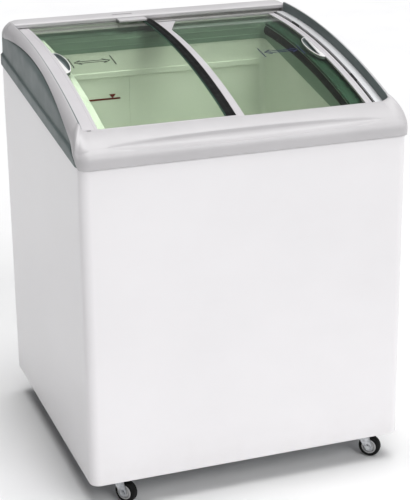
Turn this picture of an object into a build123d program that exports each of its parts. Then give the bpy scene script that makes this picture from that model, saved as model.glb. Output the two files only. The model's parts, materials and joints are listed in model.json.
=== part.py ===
from build123d import *
import math
import os

# Ice-cream display chest freezer with two curved sliding glass lids, on four castors.
# Millimetres. X to the right, front towards -Y, +Z up, floor at z = 0,
# origin on the floor under the middle of the cabinet.

os.makedirs("parts", exist_ok=True)

# ---------------------------------------------------------------- cabinet
WIDTH = 724.0            # outer steel shell, left to right
DEPTH = 673.0            # outer steel shell, front to back
BASE_Z = 65.0            # underside of the cabinet
SHEET = 1.2              # painted steel sheet
CORNER_R = 22.0          # vertical front corners
HALF_X = WIDTH / 2
HALF_Y = DEPTH / 2
REACH_Y = 341.0          # front nose of the beam, and back of the rear rail and grille
REACH_X = 365.5          # side flange of the top frame

# The collar's lower edge rises towards the back.
COLLAR_Z = 804.0
COLLAR_SLOPE = 0.107
SHELL_LAP = 12.0         # shell and foam rise this far behind the collar
FLANGE_H = 26.0          # lower flange strip of the side covers

# ---------------------------------------------------------------- tank
TANK_X = 278.0           # inner half width of the liner
TANK_Y = 278.0           # inner half depth of the liner
TANK_FLOOR = 131.5
LINER = 1.5
TANK_R = 15.0
HUMP_Y = 45.0            # front face of the step over the compressor
HUMP_Z = 321.5           # top face of that step
BAY_Y = 95.0             # front wall of the compressor compartment
BAY_Z = 270.0            # ceiling of the compressor compartment
TRAY = 1.5
THROAT_Z = 808.7         # lower edge of the throat skirt at y = 0
THROAT_SLOPE = 0.19
THROAT_T = 2.0
THROAT_X = 320.0
THROAT_FRONT = -292.0
THROAT_BACK = 308.0

# ---------------------------------------------------------------- curved lids
ARC_Y = 311.0            # centre of the glass curve
ARC_Z = -865.0
R_FRAME = 1784.0         # curve that the ledges, covers and rims follow
R_HIGH = R_FRAME + 5.0   # outer face of the upper (left) glass
R_LOW = R_FRAME - 5.0    # outer face of the lower (right) glass
GLASS = 4.0
FRAME_UP = 1.0           # lid frame above the glass face
FRAME_DOWN = 6.5         # lid frame below the glass face
GLIDE_LAP = 1.4
LID_EDGE = 317.0         # outer side of each lid
LID_FRAME = 16.0         # width of the side frames
BAR_LEFT = -12.0         # centre frame of the right lid, partly under the left lid
BAR_RIGHT = 22.0
SEAL_LEFT = -24.0
SEAL_RIGHT = -2.0
GLASS_FRONT = -276.0
GLASS_BACK = 326.0
LEFT_FRONT = -264.0      # front ends of the side frames
RIGHT_FRONT = -254.0
LID_BACK = 311.0
GLIDE_FRONT = -281.0
GLIDE_BACK = 331.0
R_SHELF = R_FRAME - 20.0   # top of the throat, under both lids

# ---------------------------------------------------------------- top frame
LEDGE_X = 339.0
RIM_X = 342.0
RIM_OUT = 359.0
RIM_UP = 18.5
CHEEK_UP = 21.0
RIM_FRONT = -262.0
RIM_BACK = 308.2

# ---------------------------------------------------------------- castors
WHEEL_R = 25.0
TRAIL = 22.0
STEM_X = 291.0
STEM_Y = 287.0
AXLE_R = 4.0
PIN_R = 5.0
RUN_FIT = 0.07
CASTORS = {
    "front_left": (-STEM_X, -STEM_Y, -51.0),
    "front_right": (STEM_X, -STEM_Y, -41.0),
    "rear_left": (-STEM_X, STEM_Y, 25.0),
    "rear_right": (STEM_X, STEM_Y, -35.0),
}


def arc_z(y, r):
    """Height of the lid curve of radius r at depth y."""
    return ARC_Z + math.sqrt(r * r - (y - ARC_Y) ** 2)


def slope_plane(z0, slope):
    """Plane that crosses the Z axis at z0 and rises towards the back."""
    return Plane(origin=(0, 0, z0), x_dir=(1, 0, 0), z_dir=(0, -slope, 1))


def collar_z(y):
    return COLLAR_Z + COLLAR_SLOPE * y


def band(x, y0, y1, r0, r1):
    """Section between two lid curves, on the plane at x."""
    ym = (y0 + y1) / 2
    with BuildSketch(Plane.YZ.offset(x)) as section:
        with BuildLine():
            ThreePointArc((y0, arc_z(y0, r0)), (ym, arc_z(ym, r0)), (y1, arc_z(y1, r0)))
            Line((y1, arc_z(y1, r0)), (y1, arc_z(y1, r1)))
            ThreePointArc((y1, arc_z(y1, r1)), (ym, arc_z(ym, r1)), (y0, arc_z(y0, r1)))
            Line((y0, arc_z(y0, r1)), (y0, arc_z(y0, r0)))
        make_face()
    return section.sketch


def below_curve(x, y0, y1, z_low, r):
    """Section from a level line up to a lid curve."""
    ym = (y0 + y1) / 2
    with BuildSketch(Plane.YZ.offset(x)) as section:
        with BuildLine():
            ThreePointArc((y0, arc_z(y0, r)), (ym, arc_z(ym, r)), (y1, arc_z(y1, r)))
            Polyline((y1, arc_z(y1, r)), (y1, z_low), (y0, z_low), (y0, arc_z(y0, r)))
        make_face()
    return section.sketch


def save(builder, name):
    builder.part.label = name
    export_step(builder.part, f"parts/{name}.step")


# ================================================================ steel cabinet
with BuildPart() as outer_shell:
    with BuildSketch(Plane.XY.offset(BASE_Z)) as shell_plan:
        Rectangle(WIDTH, DEPTH)
        fillet(shell_plan.vertices().group_by(Axis.Y)[0], CORNER_R)
    extrude(amount=850)
    with BuildSketch(Plane.XY.offset(BASE_Z)) as shell_hollow:
        with Locations((0, SHEET)):
            Rectangle(WIDTH - 2 * SHEET, DEPTH)
        fillet(shell_hollow.vertices().group_by(Axis.Y)[0], CORNER_R - SHEET)
    extrude(amount=850, mode=Mode.SUBTRACT)
    split(bisect_by=slope_plane(COLLAR_Z + SHELL_LAP, COLLAR_SLOPE), keep=Keep.BOTTOM)
save(outer_shell, "outer_shell")

PANEL_FRONT = HALF_Y - SHEET
GRILLE_TOP = 266.0
with BuildPart() as rear_panel:
    with BuildSketch(Plane.XY.offset(GRILLE_TOP - 6)):
        with Locations((0, HALF_Y - SHEET / 2)):
            Rectangle(WIDTH - 2 * SHEET, SHEET)
    extrude(amount=650)
    split(bisect_by=slope_plane(COLLAR_Z + SHELL_LAP, COLLAR_SLOPE), keep=Keep.BOTTOM)
save(rear_panel, "rear_panel")

DRAIN_Y = -200.0
DRAIN_R = 14.0           # tube inside the foam
SPOUT_R = 12.5           # spout below the base, for a hose
SPOUT = 20.0
DRAIN_BORE = 9.5
with BuildPart() as base_tray:
    with BuildSketch(Plane.XY.offset(BASE_Z)) as tray_plan:
        with Locations((0, SHEET / 2)):
            Rectangle(WIDTH - 2 * SHEET, DEPTH - SHEET)
        fillet(tray_plan.vertices().group_by(Axis.Y)[0], CORNER_R - SHEET)
        with Locations((0, DRAIN_Y)):
            Circle(DRAIN_R, mode=Mode.SUBTRACT)
        with Locations((0, 215)):
            with GridLocations(40, 60, 12, 3):
                SlotOverall(30, 8, rotation=90, mode=Mode.SUBTRACT)
        for stem_x, stem_y, _ in CASTORS.values():
            with Locations((stem_x, stem_y)):
                with GridLocations(46, 46, 2, 2):
                    Circle(3.0, mode=Mode.SUBTRACT)
    extrude(amount=TRAY)
save(base_tray, "base_tray")


# ================================================================ tank, foam and throat
def tank_block(grow):
    """The tank's inner space, grown by the given thickness."""
    lower_back = HUMP_Y + grow
    lower_depth = lower_back + TANK_Y + grow
    with BuildPart() as block:
        with BuildSketch(Plane.XY.offset(HUMP_Z - grow)):
            RectangleRounded(2 * (TANK_X + grow), 2 * (TANK_Y + grow), TANK_R + grow)
        extrude(amount=700)
        with BuildSketch(Plane.XY.offset(TANK_FLOOR - grow)):
            with Locations((0, lower_back - lower_depth / 2)):
                RectangleRounded(2 * (TANK_X + grow), lower_depth, TANK_R + grow)
        extrude(amount=HUMP_Z - TANK_FLOOR)
    return block.part


SEAM_TOP = 798.0
with BuildPart() as inner_liner:
    add(tank_block(LINER))
    add(tank_block(0), mode=Mode.SUBTRACT)
    # pressed step along the back wall
    with BuildSketch(Plane.YZ.offset(TANK_R - TANK_X)):
        with Locations((TANK_Y - 2.2, SEAM_TOP + 7)):
            RectangleRounded(5, 14, 1.5)
    extrude(amount=2 * (TANK_X - TANK_R))
    split(bisect_by=slope_plane(THROAT_Z + 6, THROAT_SLOPE), keep=Keep.BOTTOM)
    with Locations((0, DRAIN_Y, TANK_FLOOR)):
        Cylinder(DRAIN_R, 10, mode=Mode.SUBTRACT)
save(inner_liner, "inner_liner")

# One copper tube is wrapped round the tank: half turns joined by short risers at the back.
EVAP_R = 4.0
EVAP_LEVELS = [370 + 60 * i for i in range(7)]
EVAP_X = TANK_X + LINER + EVAP_R + 0.1
EVAP_Y = TANK_Y + LINER + EVAP_R + 0.1
EVAP_GAP = 40.0
evap_points = [(EVAP_GAP, EVAP_Y, EVAP_LEVELS[0])]
side = 1
for level in EVAP_LEVELS:
    if level != EVAP_LEVELS[0]:
        evap_points.append((side * EVAP_GAP, EVAP_Y, level))
    evap_points.append((side * EVAP_X, EVAP_Y, level))
    evap_points.append((side * EVAP_X, -EVAP_Y, level))
    evap_points.append((-side * EVAP_X, -EVAP_Y, level))
    evap_points.append((-side * EVAP_X, EVAP_Y, level))
    evap_points.append((-side * EVAP_GAP, EVAP_Y, level))
    side = -side
with BuildPart() as evaporator_coil:
    with BuildLine() as evap_path:
        FilletPolyline(*evap_points, radius=18)
    with BuildSketch(Plane(evap_path.wire() @ 0, z_dir=evap_path.wire() % 0)):
        Circle(EVAP_R)
        Circle(EVAP_R - 0.8, mode=Mode.SUBTRACT)
    sweep()
save(evaporator_coil, "evaporator_coil")

# The warm tube lies flat against the back panel.
COND_R = 3.0
COND_X = 300.0
COND_Y = PANEL_FRONT - COND_R - 0.1
COND_LEVELS = [320 + 70 * i for i in range(8)]
cond_points = [(-COND_X - 20, COND_Y, COND_LEVELS[0])]
side = 1
for level in COND_LEVELS[:-1]:
    cond_points.append((side * COND_X, COND_Y, level))
    cond_points.append((side * COND_X, COND_Y, level + 70))
    side = -side
cond_points.append((side * COND_X, COND_Y, COND_LEVELS[-1]))
with BuildPart() as condenser_coil:
    with BuildLine() as cond_path:
        FilletPolyline(*cond_points, radius=25)
    with BuildSketch(Plane(cond_path.wire() @ 0, z_dir=cond_path.wire() % 0)):
        Circle(COND_R)
        Circle(COND_R - 0.7, mode=Mode.SUBTRACT)
    sweep()
save(condenser_coil, "condenser_coil")

with BuildPart() as foam_insulation:
    with BuildSketch(Plane.XY.offset(BASE_Z + TRAY)) as foam_plan:
        Rectangle(WIDTH - 2 * SHEET, DEPTH - 2 * SHEET)
        fillet(foam_plan.vertices().group_by(Axis.Y)[0], CORNER_R - SHEET)
    extrude(amount=850)
    add(tank_block(LINER), mode=Mode.SUBTRACT)
    split(bisect_by=slope_plane(COLLAR_Z + SHELL_LAP, COLLAR_SLOPE), keep=Keep.BOTTOM)
    # compressor compartment
    with BuildSketch(Plane.XY.offset(BASE_Z + TRAY)):
        with Locations((0, (BAY_Y + HALF_Y) / 2)):
            Rectangle(WIDTH, HALF_Y - BAY_Y)
    extrude(amount=BAY_Z - BASE_Z - TRAY, mode=Mode.SUBTRACT)
    # grooves for the tubes
    for level in EVAP_LEVELS:
        with Locations((0, 0, level)):
            Box(2 * EVAP_X + 9, 2 * EVAP_Y + 9, 9, mode=Mode.SUBTRACT)
    with Locations((0, EVAP_Y, (EVAP_LEVELS[0] + EVAP_LEVELS[-1]) / 2)):
        Box(2 * EVAP_GAP + 60, 9, EVAP_LEVELS[-1] - EVAP_LEVELS[0], mode=Mode.SUBTRACT)
    for level in COND_LEVELS:
        with Locations((0, HALF_Y - 4, level)):
            Box(2 * COND_X + 50, 8, 8, mode=Mode.SUBTRACT)
    for end in (-1, 1):
        with Locations((end * (COND_X - 12), HALF_Y - 4, (COND_LEVELS[0] + COND_LEVELS[-1]) / 2)):
            Box(34, 8, COND_LEVELS[-1] - COND_LEVELS[0], mode=Mode.SUBTRACT)
    # pockets over the front castors, and the drain
    for end in (-1, 1):
        with Locations((end * STEM_X, -STEM_Y, BASE_Z + TRAY)):
            Box(64, 64, 24, mode=Mode.SUBTRACT)
    with Locations((0, DRAIN_Y, 100)):
        Cylinder(DRAIN_R, 80, mode=Mode.SUBTRACT)
save(foam_insulation, "foam_insulation")


def under_slope(plan_x, plan_y, corner_r, z0, slope):
    """Block of the given plan that ends at a sloping top."""
    with BuildPart() as block:
        with BuildSketch(Plane.XY.offset(600)):
            RectangleRounded(2 * plan_x, 2 * plan_y, corner_r)
        extrude(amount=400)
        split(bisect_by=slope_plane(z0, slope), keep=Keep.BOTTOM)
    return block.part


liner_rim = under_slope(TANK_X + LINER, TANK_Y + LINER, TANK_R + LINER, THROAT_Z + 6, THROAT_SLOPE)
liner_rim -= under_slope(TANK_X, TANK_Y, TANK_R, THROAT_Z + 60, THROAT_SLOPE)
foam_rim = under_slope(WIDTH, DEPTH, 5, COLLAR_Z + SHELL_LAP, COLLAR_SLOPE)
foam_rim -= under_slope(TANK_X + LINER, TANK_Y + LINER, TANK_R + LINER, THROAT_Z + 60, THROAT_SLOPE)
with BuildPart() as liner_throat:
    extrude(below_curve(-THROAT_X, THROAT_FRONT, THROAT_BACK, 700, R_SHELF), amount=2 * THROAT_X)
    with BuildSketch(Plane.XY.offset(690)):
        RectangleRounded(2 * (TANK_X - THROAT_T), 2 * (TANK_Y - THROAT_T), TANK_R - THROAT_T)
    extrude(amount=260, mode=Mode.SUBTRACT)
    # the skirt hangs inside the liner, and the rest sits on the liner's rim and on the foam
    add(under_slope(TANK_X, TANK_Y, TANK_R, THROAT_Z, THROAT_SLOPE), mode=Mode.SUBTRACT)
    add(liner_rim, mode=Mode.SUBTRACT)
    add(foam_rim, mode=Mode.SUBTRACT)
save(liner_throat, "liner_throat")

# A strip covers the liner's welded seam on the back wall.
SEAM_X = -61.0
SEAM_WIDTH = 20.0
SEAM_T = 1.2
with BuildPart() as seam_strip:
    with BuildSketch(Plane.XZ.offset(-TANK_Y)):
        with Locations((SEAM_X, (HUMP_Z + SEAM_TOP) / 2)):
            RectangleRounded(SEAM_WIDTH, SEAM_TOP - HUMP_Z - 4, 2)
    extrude(amount=SEAM_T)
save(seam_strip, "seam_strip")

with BuildPart() as drain_tube:
    with BuildSketch(Plane.XY.offset(BASE_Z - SPOUT)):
        with Locations((0, DRAIN_Y)):
            Circle(SPOUT_R)
    extrude(amount=SPOUT)
    with BuildSketch(Plane.XY.offset(BASE_Z)):
        with Locations((0, DRAIN_Y)):
            Circle(DRAIN_R)
    extrude(amount=TANK_FLOOR - BASE_Z)
    with BuildSketch(Plane.XY.offset(TANK_FLOOR)):
        with Locations((0, DRAIN_Y)):
            Circle(20)
    extrude(amount=2.5)
    with BuildSketch(Plane.XY.offset(BASE_Z - SPOUT)):
        with Locations((0, DRAIN_Y)):
            Circle(DRAIN_BORE)
    extrude(amount=TANK_FLOOR - BASE_Z + SPOUT + 10, mode=Mode.SUBTRACT)
save(drain_tube, "drain_tube")

PLUG_Z = TANK_FLOOR + 2.5
with BuildPart() as drain_plug:
    with BuildSketch(Plane.XY.offset(PLUG_Z - 16)):
        with Locations((0, DRAIN_Y)):
            Circle(DRAIN_BORE - RUN_FIT)
    extrude(amount=16)
    with BuildSketch(Plane.XY.offset(PLUG_Z)):
        with Locations((0, DRAIN_Y)):
            Circle(15)
    extrude(amount=3)
    with BuildSketch(Plane.XZ.offset(-DRAIN_Y - 1.5)):
        with Locations((0, PLUG_Z + 3)):
            SlotOverall(24, 12, rotation=90)
            Circle(3, mode=Mode.SUBTRACT)
    extrude(amount=3)
save(drain_plug, "drain_plug")


# ================================================================ compressor compartment
COMP_X = -150.0
COMP_Y = 215.0
COMP_R = 74.0
COMP_FOOT_Z = BASE_Z + TRAY + 12
FOOT_X = 85.0
FOOT_Y = 50.0
with BuildPart() as compressor:
    # welded two-piece can, wider at its seam
    with BuildSketch(Plane(origin=(COMP_X, COMP_Y, COMP_FOOT_Z + 1), x_dir=(1, 0, 0), z_dir=(0, -1, 0))):
        with BuildLine():
            Polyline((0, 0), (50, 0))
            ThreePointArc((50, 0), (66, 8), (72, 26))
            Polyline(
                (72, 26), (COMP_R, 62), (COMP_R + 3, 64), (COMP_R + 3, 70), (COMP_R - 2, 72), (68, 118),
            )
            ThreePointArc((68, 118), (60, 138), (40, 147))
            Polyline((40, 147), (12, 150), (0, 150), (0, 0))
        make_face()
    revolve(axis=Axis((COMP_X, COMP_Y, 0), (0, 0, 1)))
    # foot plate
    with BuildSketch(Plane.XY.offset(COMP_FOOT_Z)):
        with Locations((COMP_X, COMP_Y)):
            RectangleRounded(2 * FOOT_X + 34, 2 * FOOT_Y + 34, 14)
            with GridLocations(2 * FOOT_X, 2 * FOOT_Y, 2, 2):
                Circle(8, mode=Mode.SUBTRACT)
    extrude(amount=4)
    # process and suction stubs
    with BuildSketch(Plane.YZ.offset(COMP_X + COMP_R - 6)):
        with Locations((COMP_Y - 20, COMP_FOOT_Z + 50), (COMP_Y + 20, COMP_FOOT_Z + 50)):
            Circle(4)
    extrude(amount=30)
save(compressor, "compressor")

with BuildPart() as compressor_feet:
    with BuildSketch(Plane.XY.offset(BASE_Z + TRAY)):
        with Locations((COMP_X, COMP_Y)):
            with GridLocations(2 * FOOT_X, 2 * FOOT_Y, 2, 2):
                Circle(12)
    extrude(amount=12)
    with BuildSketch(Plane.XY.offset(BASE_Z + TRAY + 12)):
        with Locations((COMP_X, COMP_Y)):
            with GridLocations(2 * FOOT_X, 2 * FOOT_Y, 2, 2):
                Circle(8)
    extrude(amount=6)
save(compressor_feet, "compressor_feet")

with BuildPart() as start_relay_box:
    with BuildSketch(Plane.XY.offset(COMP_FOOT_Z + 30)):
        with Locations((COMP_X, COMP_Y + COMP_R + 24)):
            RectangleRounded(60, 36, 4)
    extrude(amount=58)
    chamfer(start_relay_box.faces().sort_by(Axis.Z)[-1].edges(), 3)
save(start_relay_box, "start_relay_box")

DRYER_X = 60.0
DRYER_Y = 180.0
with BuildPart() as filter_dryer:
    with BuildSketch(Plane(origin=(DRYER_X, DRYER_Y, 110), x_dir=(1, 0, 0), z_dir=(0, -1, 0))):
        with BuildLine():
            Polyline((0, 0), (3, 0), (3, 12), (10, 26), (10, 96), (4, 108), (4, 120), (0, 120), close=True)
        make_face()
    revolve(axis=Axis((DRYER_X, DRYER_Y, 0), (0, 0, 1)))
save(filter_dryer, "filter_dryer")

KNOB_X = 230.0
KNOB_Z = 205.0
CUP_FLOOR_Y = 326.0
KNOB_SHAFT_R = 3.0
GRILLE_FACE = 339.5
GRILLE_BOTTOM = 70.0
GRILLE_X = 359.0
INLET_X = -230.0
INLET_Z = 205.0
grille_mid = (GRILLE_BOTTOM + GRILLE_TOP) / 2
grille_high = GRILLE_TOP - GRILLE_BOTTOM
with BuildPart() as rear_grille:
    # pressed cover, open towards the compartment
    with BuildSketch(Plane.XZ.offset(-HALF_Y)):
        with Locations((0, grille_mid)):
            RectangleRounded(2 * GRILLE_X, grille_high, 8)
    extrude(amount=HALF_Y - GRILLE_FACE)
    with BuildSketch(Plane.XZ.offset(-HALF_Y)):
        with Locations((0, grille_mid)):
            RectangleRounded(2 * GRILLE_X - 2 * SHEET, grille_high - 2 * SHEET, 7)
    extrude(amount=HALF_Y - GRILLE_FACE + SHEET, mode=Mode.SUBTRACT)
    # cup round the thermostat knob
    with BuildSketch(Plane.XZ.offset(-CUP_FLOOR_Y)):
        with Locations((KNOB_X, KNOB_Z)):
            RectangleRounded(66, 66, 8)
    extrude(amount=CUP_FLOOR_Y - GRILLE_FACE)
    with BuildSketch(Plane.XZ.offset(-CUP_FLOOR_Y - 1.5)):
        with Locations((KNOB_X, KNOB_Z)):
            RectangleRounded(62, 62, 6)
    extrude(amount=CUP_FLOOR_Y - GRILLE_FACE - 5, mode=Mode.SUBTRACT)
    with BuildSketch(Plane.XZ.offset(-CUP_FLOOR_Y + 5)):
        with Locations((KNOB_X, KNOB_Z)):
            Circle(KNOB_SHAFT_R + RUN_FIT)
        with Locations((INLET_X, INLET_Z)):
            RectangleRounded(28, 20, 3)
    extrude(amount=CUP_FLOOR_Y - GRILLE_FACE - 20, mode=Mode.SUBTRACT)
    with BuildSketch(Plane.XZ.offset(-HALF_Y)):
        with Locations((0, 168)):
            with GridLocations(34, 16, 9, 9):
                SlotOverall(28, 7, mode=Mode.ADD)
    extrude(amount=HALF_Y - GRILLE_FACE - 5, mode=Mode.SUBTRACT)
save(rear_grille, "rear_grille")

SCREW_X = GRILLE_X - 10
screw_spots = [(sx * SCREW_X, z) for sx in (-1, 1) for z in (GRILLE_BOTTOM + 12, grille_mid, GRILLE_TOP - 12)]
with BuildPart() as grille_screws:
    with BuildSketch(Plane.XZ.offset(-GRILLE_FACE)):
        with Locations(*screw_spots):
            Circle(4)
    extrude(amount=GRILLE_FACE - REACH_Y)
    fillet(grille_screws.faces().sort_by(Axis.Y)[-6:].edges(), 0.8)
    with BuildSketch(Plane.XZ.offset(-REACH_Y)):
        with Locations(*screw_spots):
            Rectangle(4.4, 0.9)
            Rectangle(0.9, 4.4)
    extrude(amount=0.8, mode=Mode.SUBTRACT)
save(grille_screws, "grille_screws")

with BuildPart() as power_inlet:
    with BuildSketch(Plane.XZ.offset(-GRILLE_FACE)):
        with Locations((INLET_X, INLET_Z)):
            RectangleRounded(48, 26, 4)
    extrude(amount=GRILLE_FACE - REACH_Y)
    with BuildSketch(Plane.XZ.offset(-GRILLE_FACE)):
        with Locations((INLET_X, INLET_Z)):
            RectangleRounded(28, 20, 3)
    extrude(amount=24)
    with BuildSketch(Plane.XZ.offset(-REACH_Y)) as inlet_mouth:
        with Locations((INLET_X, INLET_Z)):
            Rectangle(24.5, 18)
        chamfer(inlet_mouth.vertices().group_by(Axis.Z)[-1], 4)
    extrude(amount=19, mode=Mode.SUBTRACT)
    with BuildSketch(Plane.XZ.offset(-REACH_Y + 20)):
        with Locations((INLET_X, INLET_Z + 2)):
            Rectangle(2, 4)
        with Locations((INLET_X - 7, INLET_Z - 2), (INLET_X + 7, INLET_Z - 2)):
            Rectangle(2, 4)
    extrude(amount=-16)
save(power_inlet, "power_inlet")

with BuildPart() as thermostat:
    with BuildSketch(Plane.XZ.offset(-CUP_FLOOR_Y)):
        with Locations((KNOB_X, KNOB_Z)):
            RectangleRounded(50, 36, 3)
    extrude(amount=34)
    with BuildSketch(Plane.XZ.offset(-CUP_FLOOR_Y)):
        with Locations((KNOB_X, KNOB_Z)):
            Circle(KNOB_SHAFT_R + RUN_FIT)
    extrude(amount=20, mode=Mode.SUBTRACT)
save(thermostat, "thermostat")

KNOB_FACE = 339.0
KNOB_BACK = 328.5
KNOB_R = 19.0
with BuildPart() as thermostat_knob:
    with BuildSketch(Plane.XZ.offset(-KNOB_BACK)):
        with Locations((KNOB_X, KNOB_Z)):
            Circle(KNOB_R)
            with PolarLocations(KNOB_R + 1.2, 12):
                Circle(2.2, mode=Mode.SUBTRACT)
    extrude(amount=KNOB_BACK - KNOB_FACE)
    with BuildSketch(Plane.XZ.offset(-KNOB_BACK)):
        with Locations((KNOB_X, KNOB_Z)):
            Circle(KNOB_SHAFT_R)
    extrude(amount=20)
    # pointer groove
    with BuildSketch(Plane.XZ.offset(-KNOB_FACE)):
        with Locations((KNOB_X, KNOB_Z + 11)):
            Rectangle(2, 12)
    extrude(amount=1, mode=Mode.SUBTRACT)
save(thermostat_knob, "thermostat_knob")


# ================================================================ sliding lids
def lid_glass(x0, x1, r):
    with BuildPart() as glass:
        extrude(band(x0, GLASS_FRONT, GLASS_BACK, r - GLASS, r), amount=x1 - x0)
    return glass.part


def lid_profile(x0, x1, front, r, glass):
    """Frame strip along the curve, grooved for the glass."""
    with BuildPart() as strip:
        extrude(band(x0, front, LID_BACK, r - FRAME_DOWN, r + FRAME_UP), amount=x1 - x0)
        add(glass, mode=Mode.SUBTRACT)
    return strip.part


def lid_glides(x0, x1, front, r, glass):
    """Plastic runners on the front and back edges of a lid."""
    with BuildPart() as glides:
        extrude(band(x0, GLIDE_FRONT, front - 0.5, r - GLASS - GLIDE_LAP, r + GLIDE_LAP), amount=x1 - x0)
        extrude(band(x0, LID_BACK + 0.5, GLIDE_BACK, r - GLASS - GLIDE_LAP, r + GLIDE_LAP), amount=x1 - x0)
        add(glass, mode=Mode.SUBTRACT)
    return glides.part


HANDLE_LENGTH = 118.0
HANDLE_WIDTH = 20.0
HANDLE_DEEP = 9.0
HANDLE_WALL = 1.6


def handle_outline(edge_x, y, side, grow):
    """Half oval whose straight side lies on edge_x; side is the way the lid's glass lies."""
    half = HANDLE_LENGTH / 2 + grow
    bulge = HANDLE_WIDTH + grow
    with BuildSketch(Plane.XY.offset(700)) as outline:
        with BuildLine():
            Spline(
                (edge_x, y - half),
                (edge_x + side * 0.72 * bulge, y - 0.72 * half),
                (edge_x + side * bulge, y),
                (edge_x + side * 0.72 * bulge, y + 0.72 * half),
                (edge_x, y + half),
            )
            Line((edge_x, y + half), (edge_x, y - half))
        make_face()
    return outline.sketch


def handle_block(edge_x, y, side, grow):
    with BuildPart() as block:
        extrude(handle_outline(edge_x, y, side, grow), amount=300)
    return block.part


def handle_cup(edge_x, y, side, r):
    """Finger cup set in the glass beside the frame, with a low lip round it."""
    with BuildPart() as cup:
        extrude(band(edge_x - 40, y - 90, y + 90, r + FRAME_UP - HANDLE_DEEP, r + FRAME_UP), amount=80)
        add(handle_block(edge_x, y, side, 0), mode=Mode.INTERSECT)
    with BuildPart() as hollow:
        extrude(
            band(edge_x - 40, y - 90, y + 90, r + FRAME_UP - HANDLE_DEEP + HANDLE_WALL, r + 5),
            amount=80,
        )
        add(handle_block(edge_x, y, side, -HANDLE_WALL), mode=Mode.INTERSECT)
    return cup.part - hollow.part


HANDLE_EDGE = LID_EDGE - LID_FRAME
LEFT_HANDLE_Y = 36.0
RIGHT_HANDLE_Y = 24.0

left_cup_space = handle_block(-HANDLE_EDGE, LEFT_HANDLE_Y, 1, 0)
right_cup_space = handle_block(HANDLE_EDGE, RIGHT_HANDLE_Y, -1, 0)

with BuildPart() as left_lid_glass:
    add(lid_glass(5 - LID_EDGE, SEAL_RIGHT - 4, R_HIGH))
    add(left_cup_space, mode=Mode.SUBTRACT)
save(left_lid_glass, "left_lid_glass")

with BuildPart() as left_lid_frame:
    add(lid_profile(-LID_EDGE, -HANDLE_EDGE, LEFT_FRONT, R_HIGH, left_lid_glass.part))
save(left_lid_frame, "left_lid_frame")

with BuildPart() as left_lid_seal:
    add(lid_profile(SEAL_LEFT, SEAL_RIGHT, LEFT_FRONT, R_HIGH, left_lid_glass.part))
save(left_lid_seal, "left_lid_seal")

with BuildPart() as left_lid_glides:
    add(lid_glides(-LID_EDGE, SEAL_RIGHT, LEFT_FRONT, R_HIGH, left_lid_glass.part))
save(left_lid_glides, "left_lid_glides")

with BuildPart() as left_lid_handle:
    add(handle_cup(-HANDLE_EDGE, LEFT_HANDLE_Y, 1, R_HIGH))
save(left_lid_handle, "left_lid_handle")

with BuildPart() as right_lid_glass:
    add(lid_glass(BAR_LEFT + 5, LID_EDGE - 5, R_LOW))
    add(right_cup_space, mode=Mode.SUBTRACT)
save(right_lid_glass, "right_lid_glass")

with BuildPart() as right_lid_frame:
    add(lid_profile(HANDLE_EDGE, LID_EDGE, RIGHT_FRONT, R_LOW, right_lid_glass.part))
save(right_lid_frame, "right_lid_frame")

GUSSET_X = 62.0
GUSSET_Y = 224.0
with BuildPart() as right_lid_centre_frame:
    add(lid_profile(BAR_LEFT, BAR_RIGHT, RIGHT_FRONT, R_LOW, right_lid_glass.part))
    with BuildPart(mode=Mode.PRIVATE) as gusset:
        extrude(band(BAR_RIGHT - 1, GUSSET_Y, LID_BACK, R_LOW, R_LOW + FRAME_UP), amount=GUSSET_X)
        with BuildSketch(Plane.XY.offset(850)):
            with BuildLine():
                Polyline(
                    (BAR_RIGHT - 1, GUSSET_Y), (GUSSET_X, LID_BACK),
                    (BAR_RIGHT - 1, LID_BACK), close=True,
                )
            make_face()
        extrude(amount=100, mode=Mode.INTERSECT)
    add(gusset.part)
save(right_lid_centre_frame, "right_lid_centre_frame")

with BuildPart() as right_lid_glides:
    add(lid_glides(BAR_LEFT, LID_EDGE, RIGHT_FRONT, R_LOW, right_lid_glass.part))
save(right_lid_glides, "right_lid_glides")

with BuildPart() as right_lid_handle:
    add(handle_cup(HANDLE_EDGE, RIGHT_HANDLE_Y, -1, R_LOW))
save(right_lid_handle, "right_lid_handle")


# ================================================================ tracks and ledges
RAIL_FRONT = 308.2       # front face of the rear rail
SLOT_LOW = FRAME_DOWN - 0.5
SLOT_HIGH = 2.2
TRACK_TOP = R_HIGH + 3.4


def track(half, y_front, y_back, slot_front, slot_back, top):
    """Double channel for both lids, along the whole width."""
    with BuildPart() as rail:
        extrude(band(-half, y_front, y_back, R_SHELF, top), amount=2 * half)
        for r in (R_HIGH, R_LOW):
            extrude(
                band(-half, slot_front, slot_back, r - SLOT_LOW, r + SLOT_HIGH),
                amount=2 * half, mode=Mode.SUBTRACT,
            )
    return rail.part


# the front beam closes the upper channel at the front
with BuildPart() as front_track:
    add(track(THROAT_X - 0.6, -288.0, -265.5, -284.0, -250.0, R_HIGH + SLOT_HIGH))
save(front_track, "front_track")

with BuildPart() as rear_track:
    add(track(LEDGE_X, 311.5, 335.5, 300.0, 333.0, TRACK_TOP))
save(rear_track, "rear_track")


def ledge(x0, x1, leg_x0, leg_x1):
    """Bright metal angle between the side wall and the lid."""
    with BuildPart() as angle:
        extrude(band(x0, -284.0, RAIL_FRONT - 0.2, R_FRAME - 1.5, R_FRAME), amount=x1 - x0)
        extrude(band(leg_x0, -284.0, RAIL_FRONT - 0.2, R_FRAME - 26, R_FRAME - 1.5), amount=leg_x1 - leg_x0)
    return angle.part


with BuildPart() as side_ledge_right:
    add(ledge(THROAT_X, LEDGE_X, THROAT_X, THROAT_X + 1.5))
save(side_ledge_right, "side_ledge_right")

with BuildPart() as side_ledge_left:
    add(ledge(-LEDGE_X, -THROAT_X, -THROAT_X - 1.5, -THROAT_X))
save(side_ledge_left, "side_ledge_left")

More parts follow.
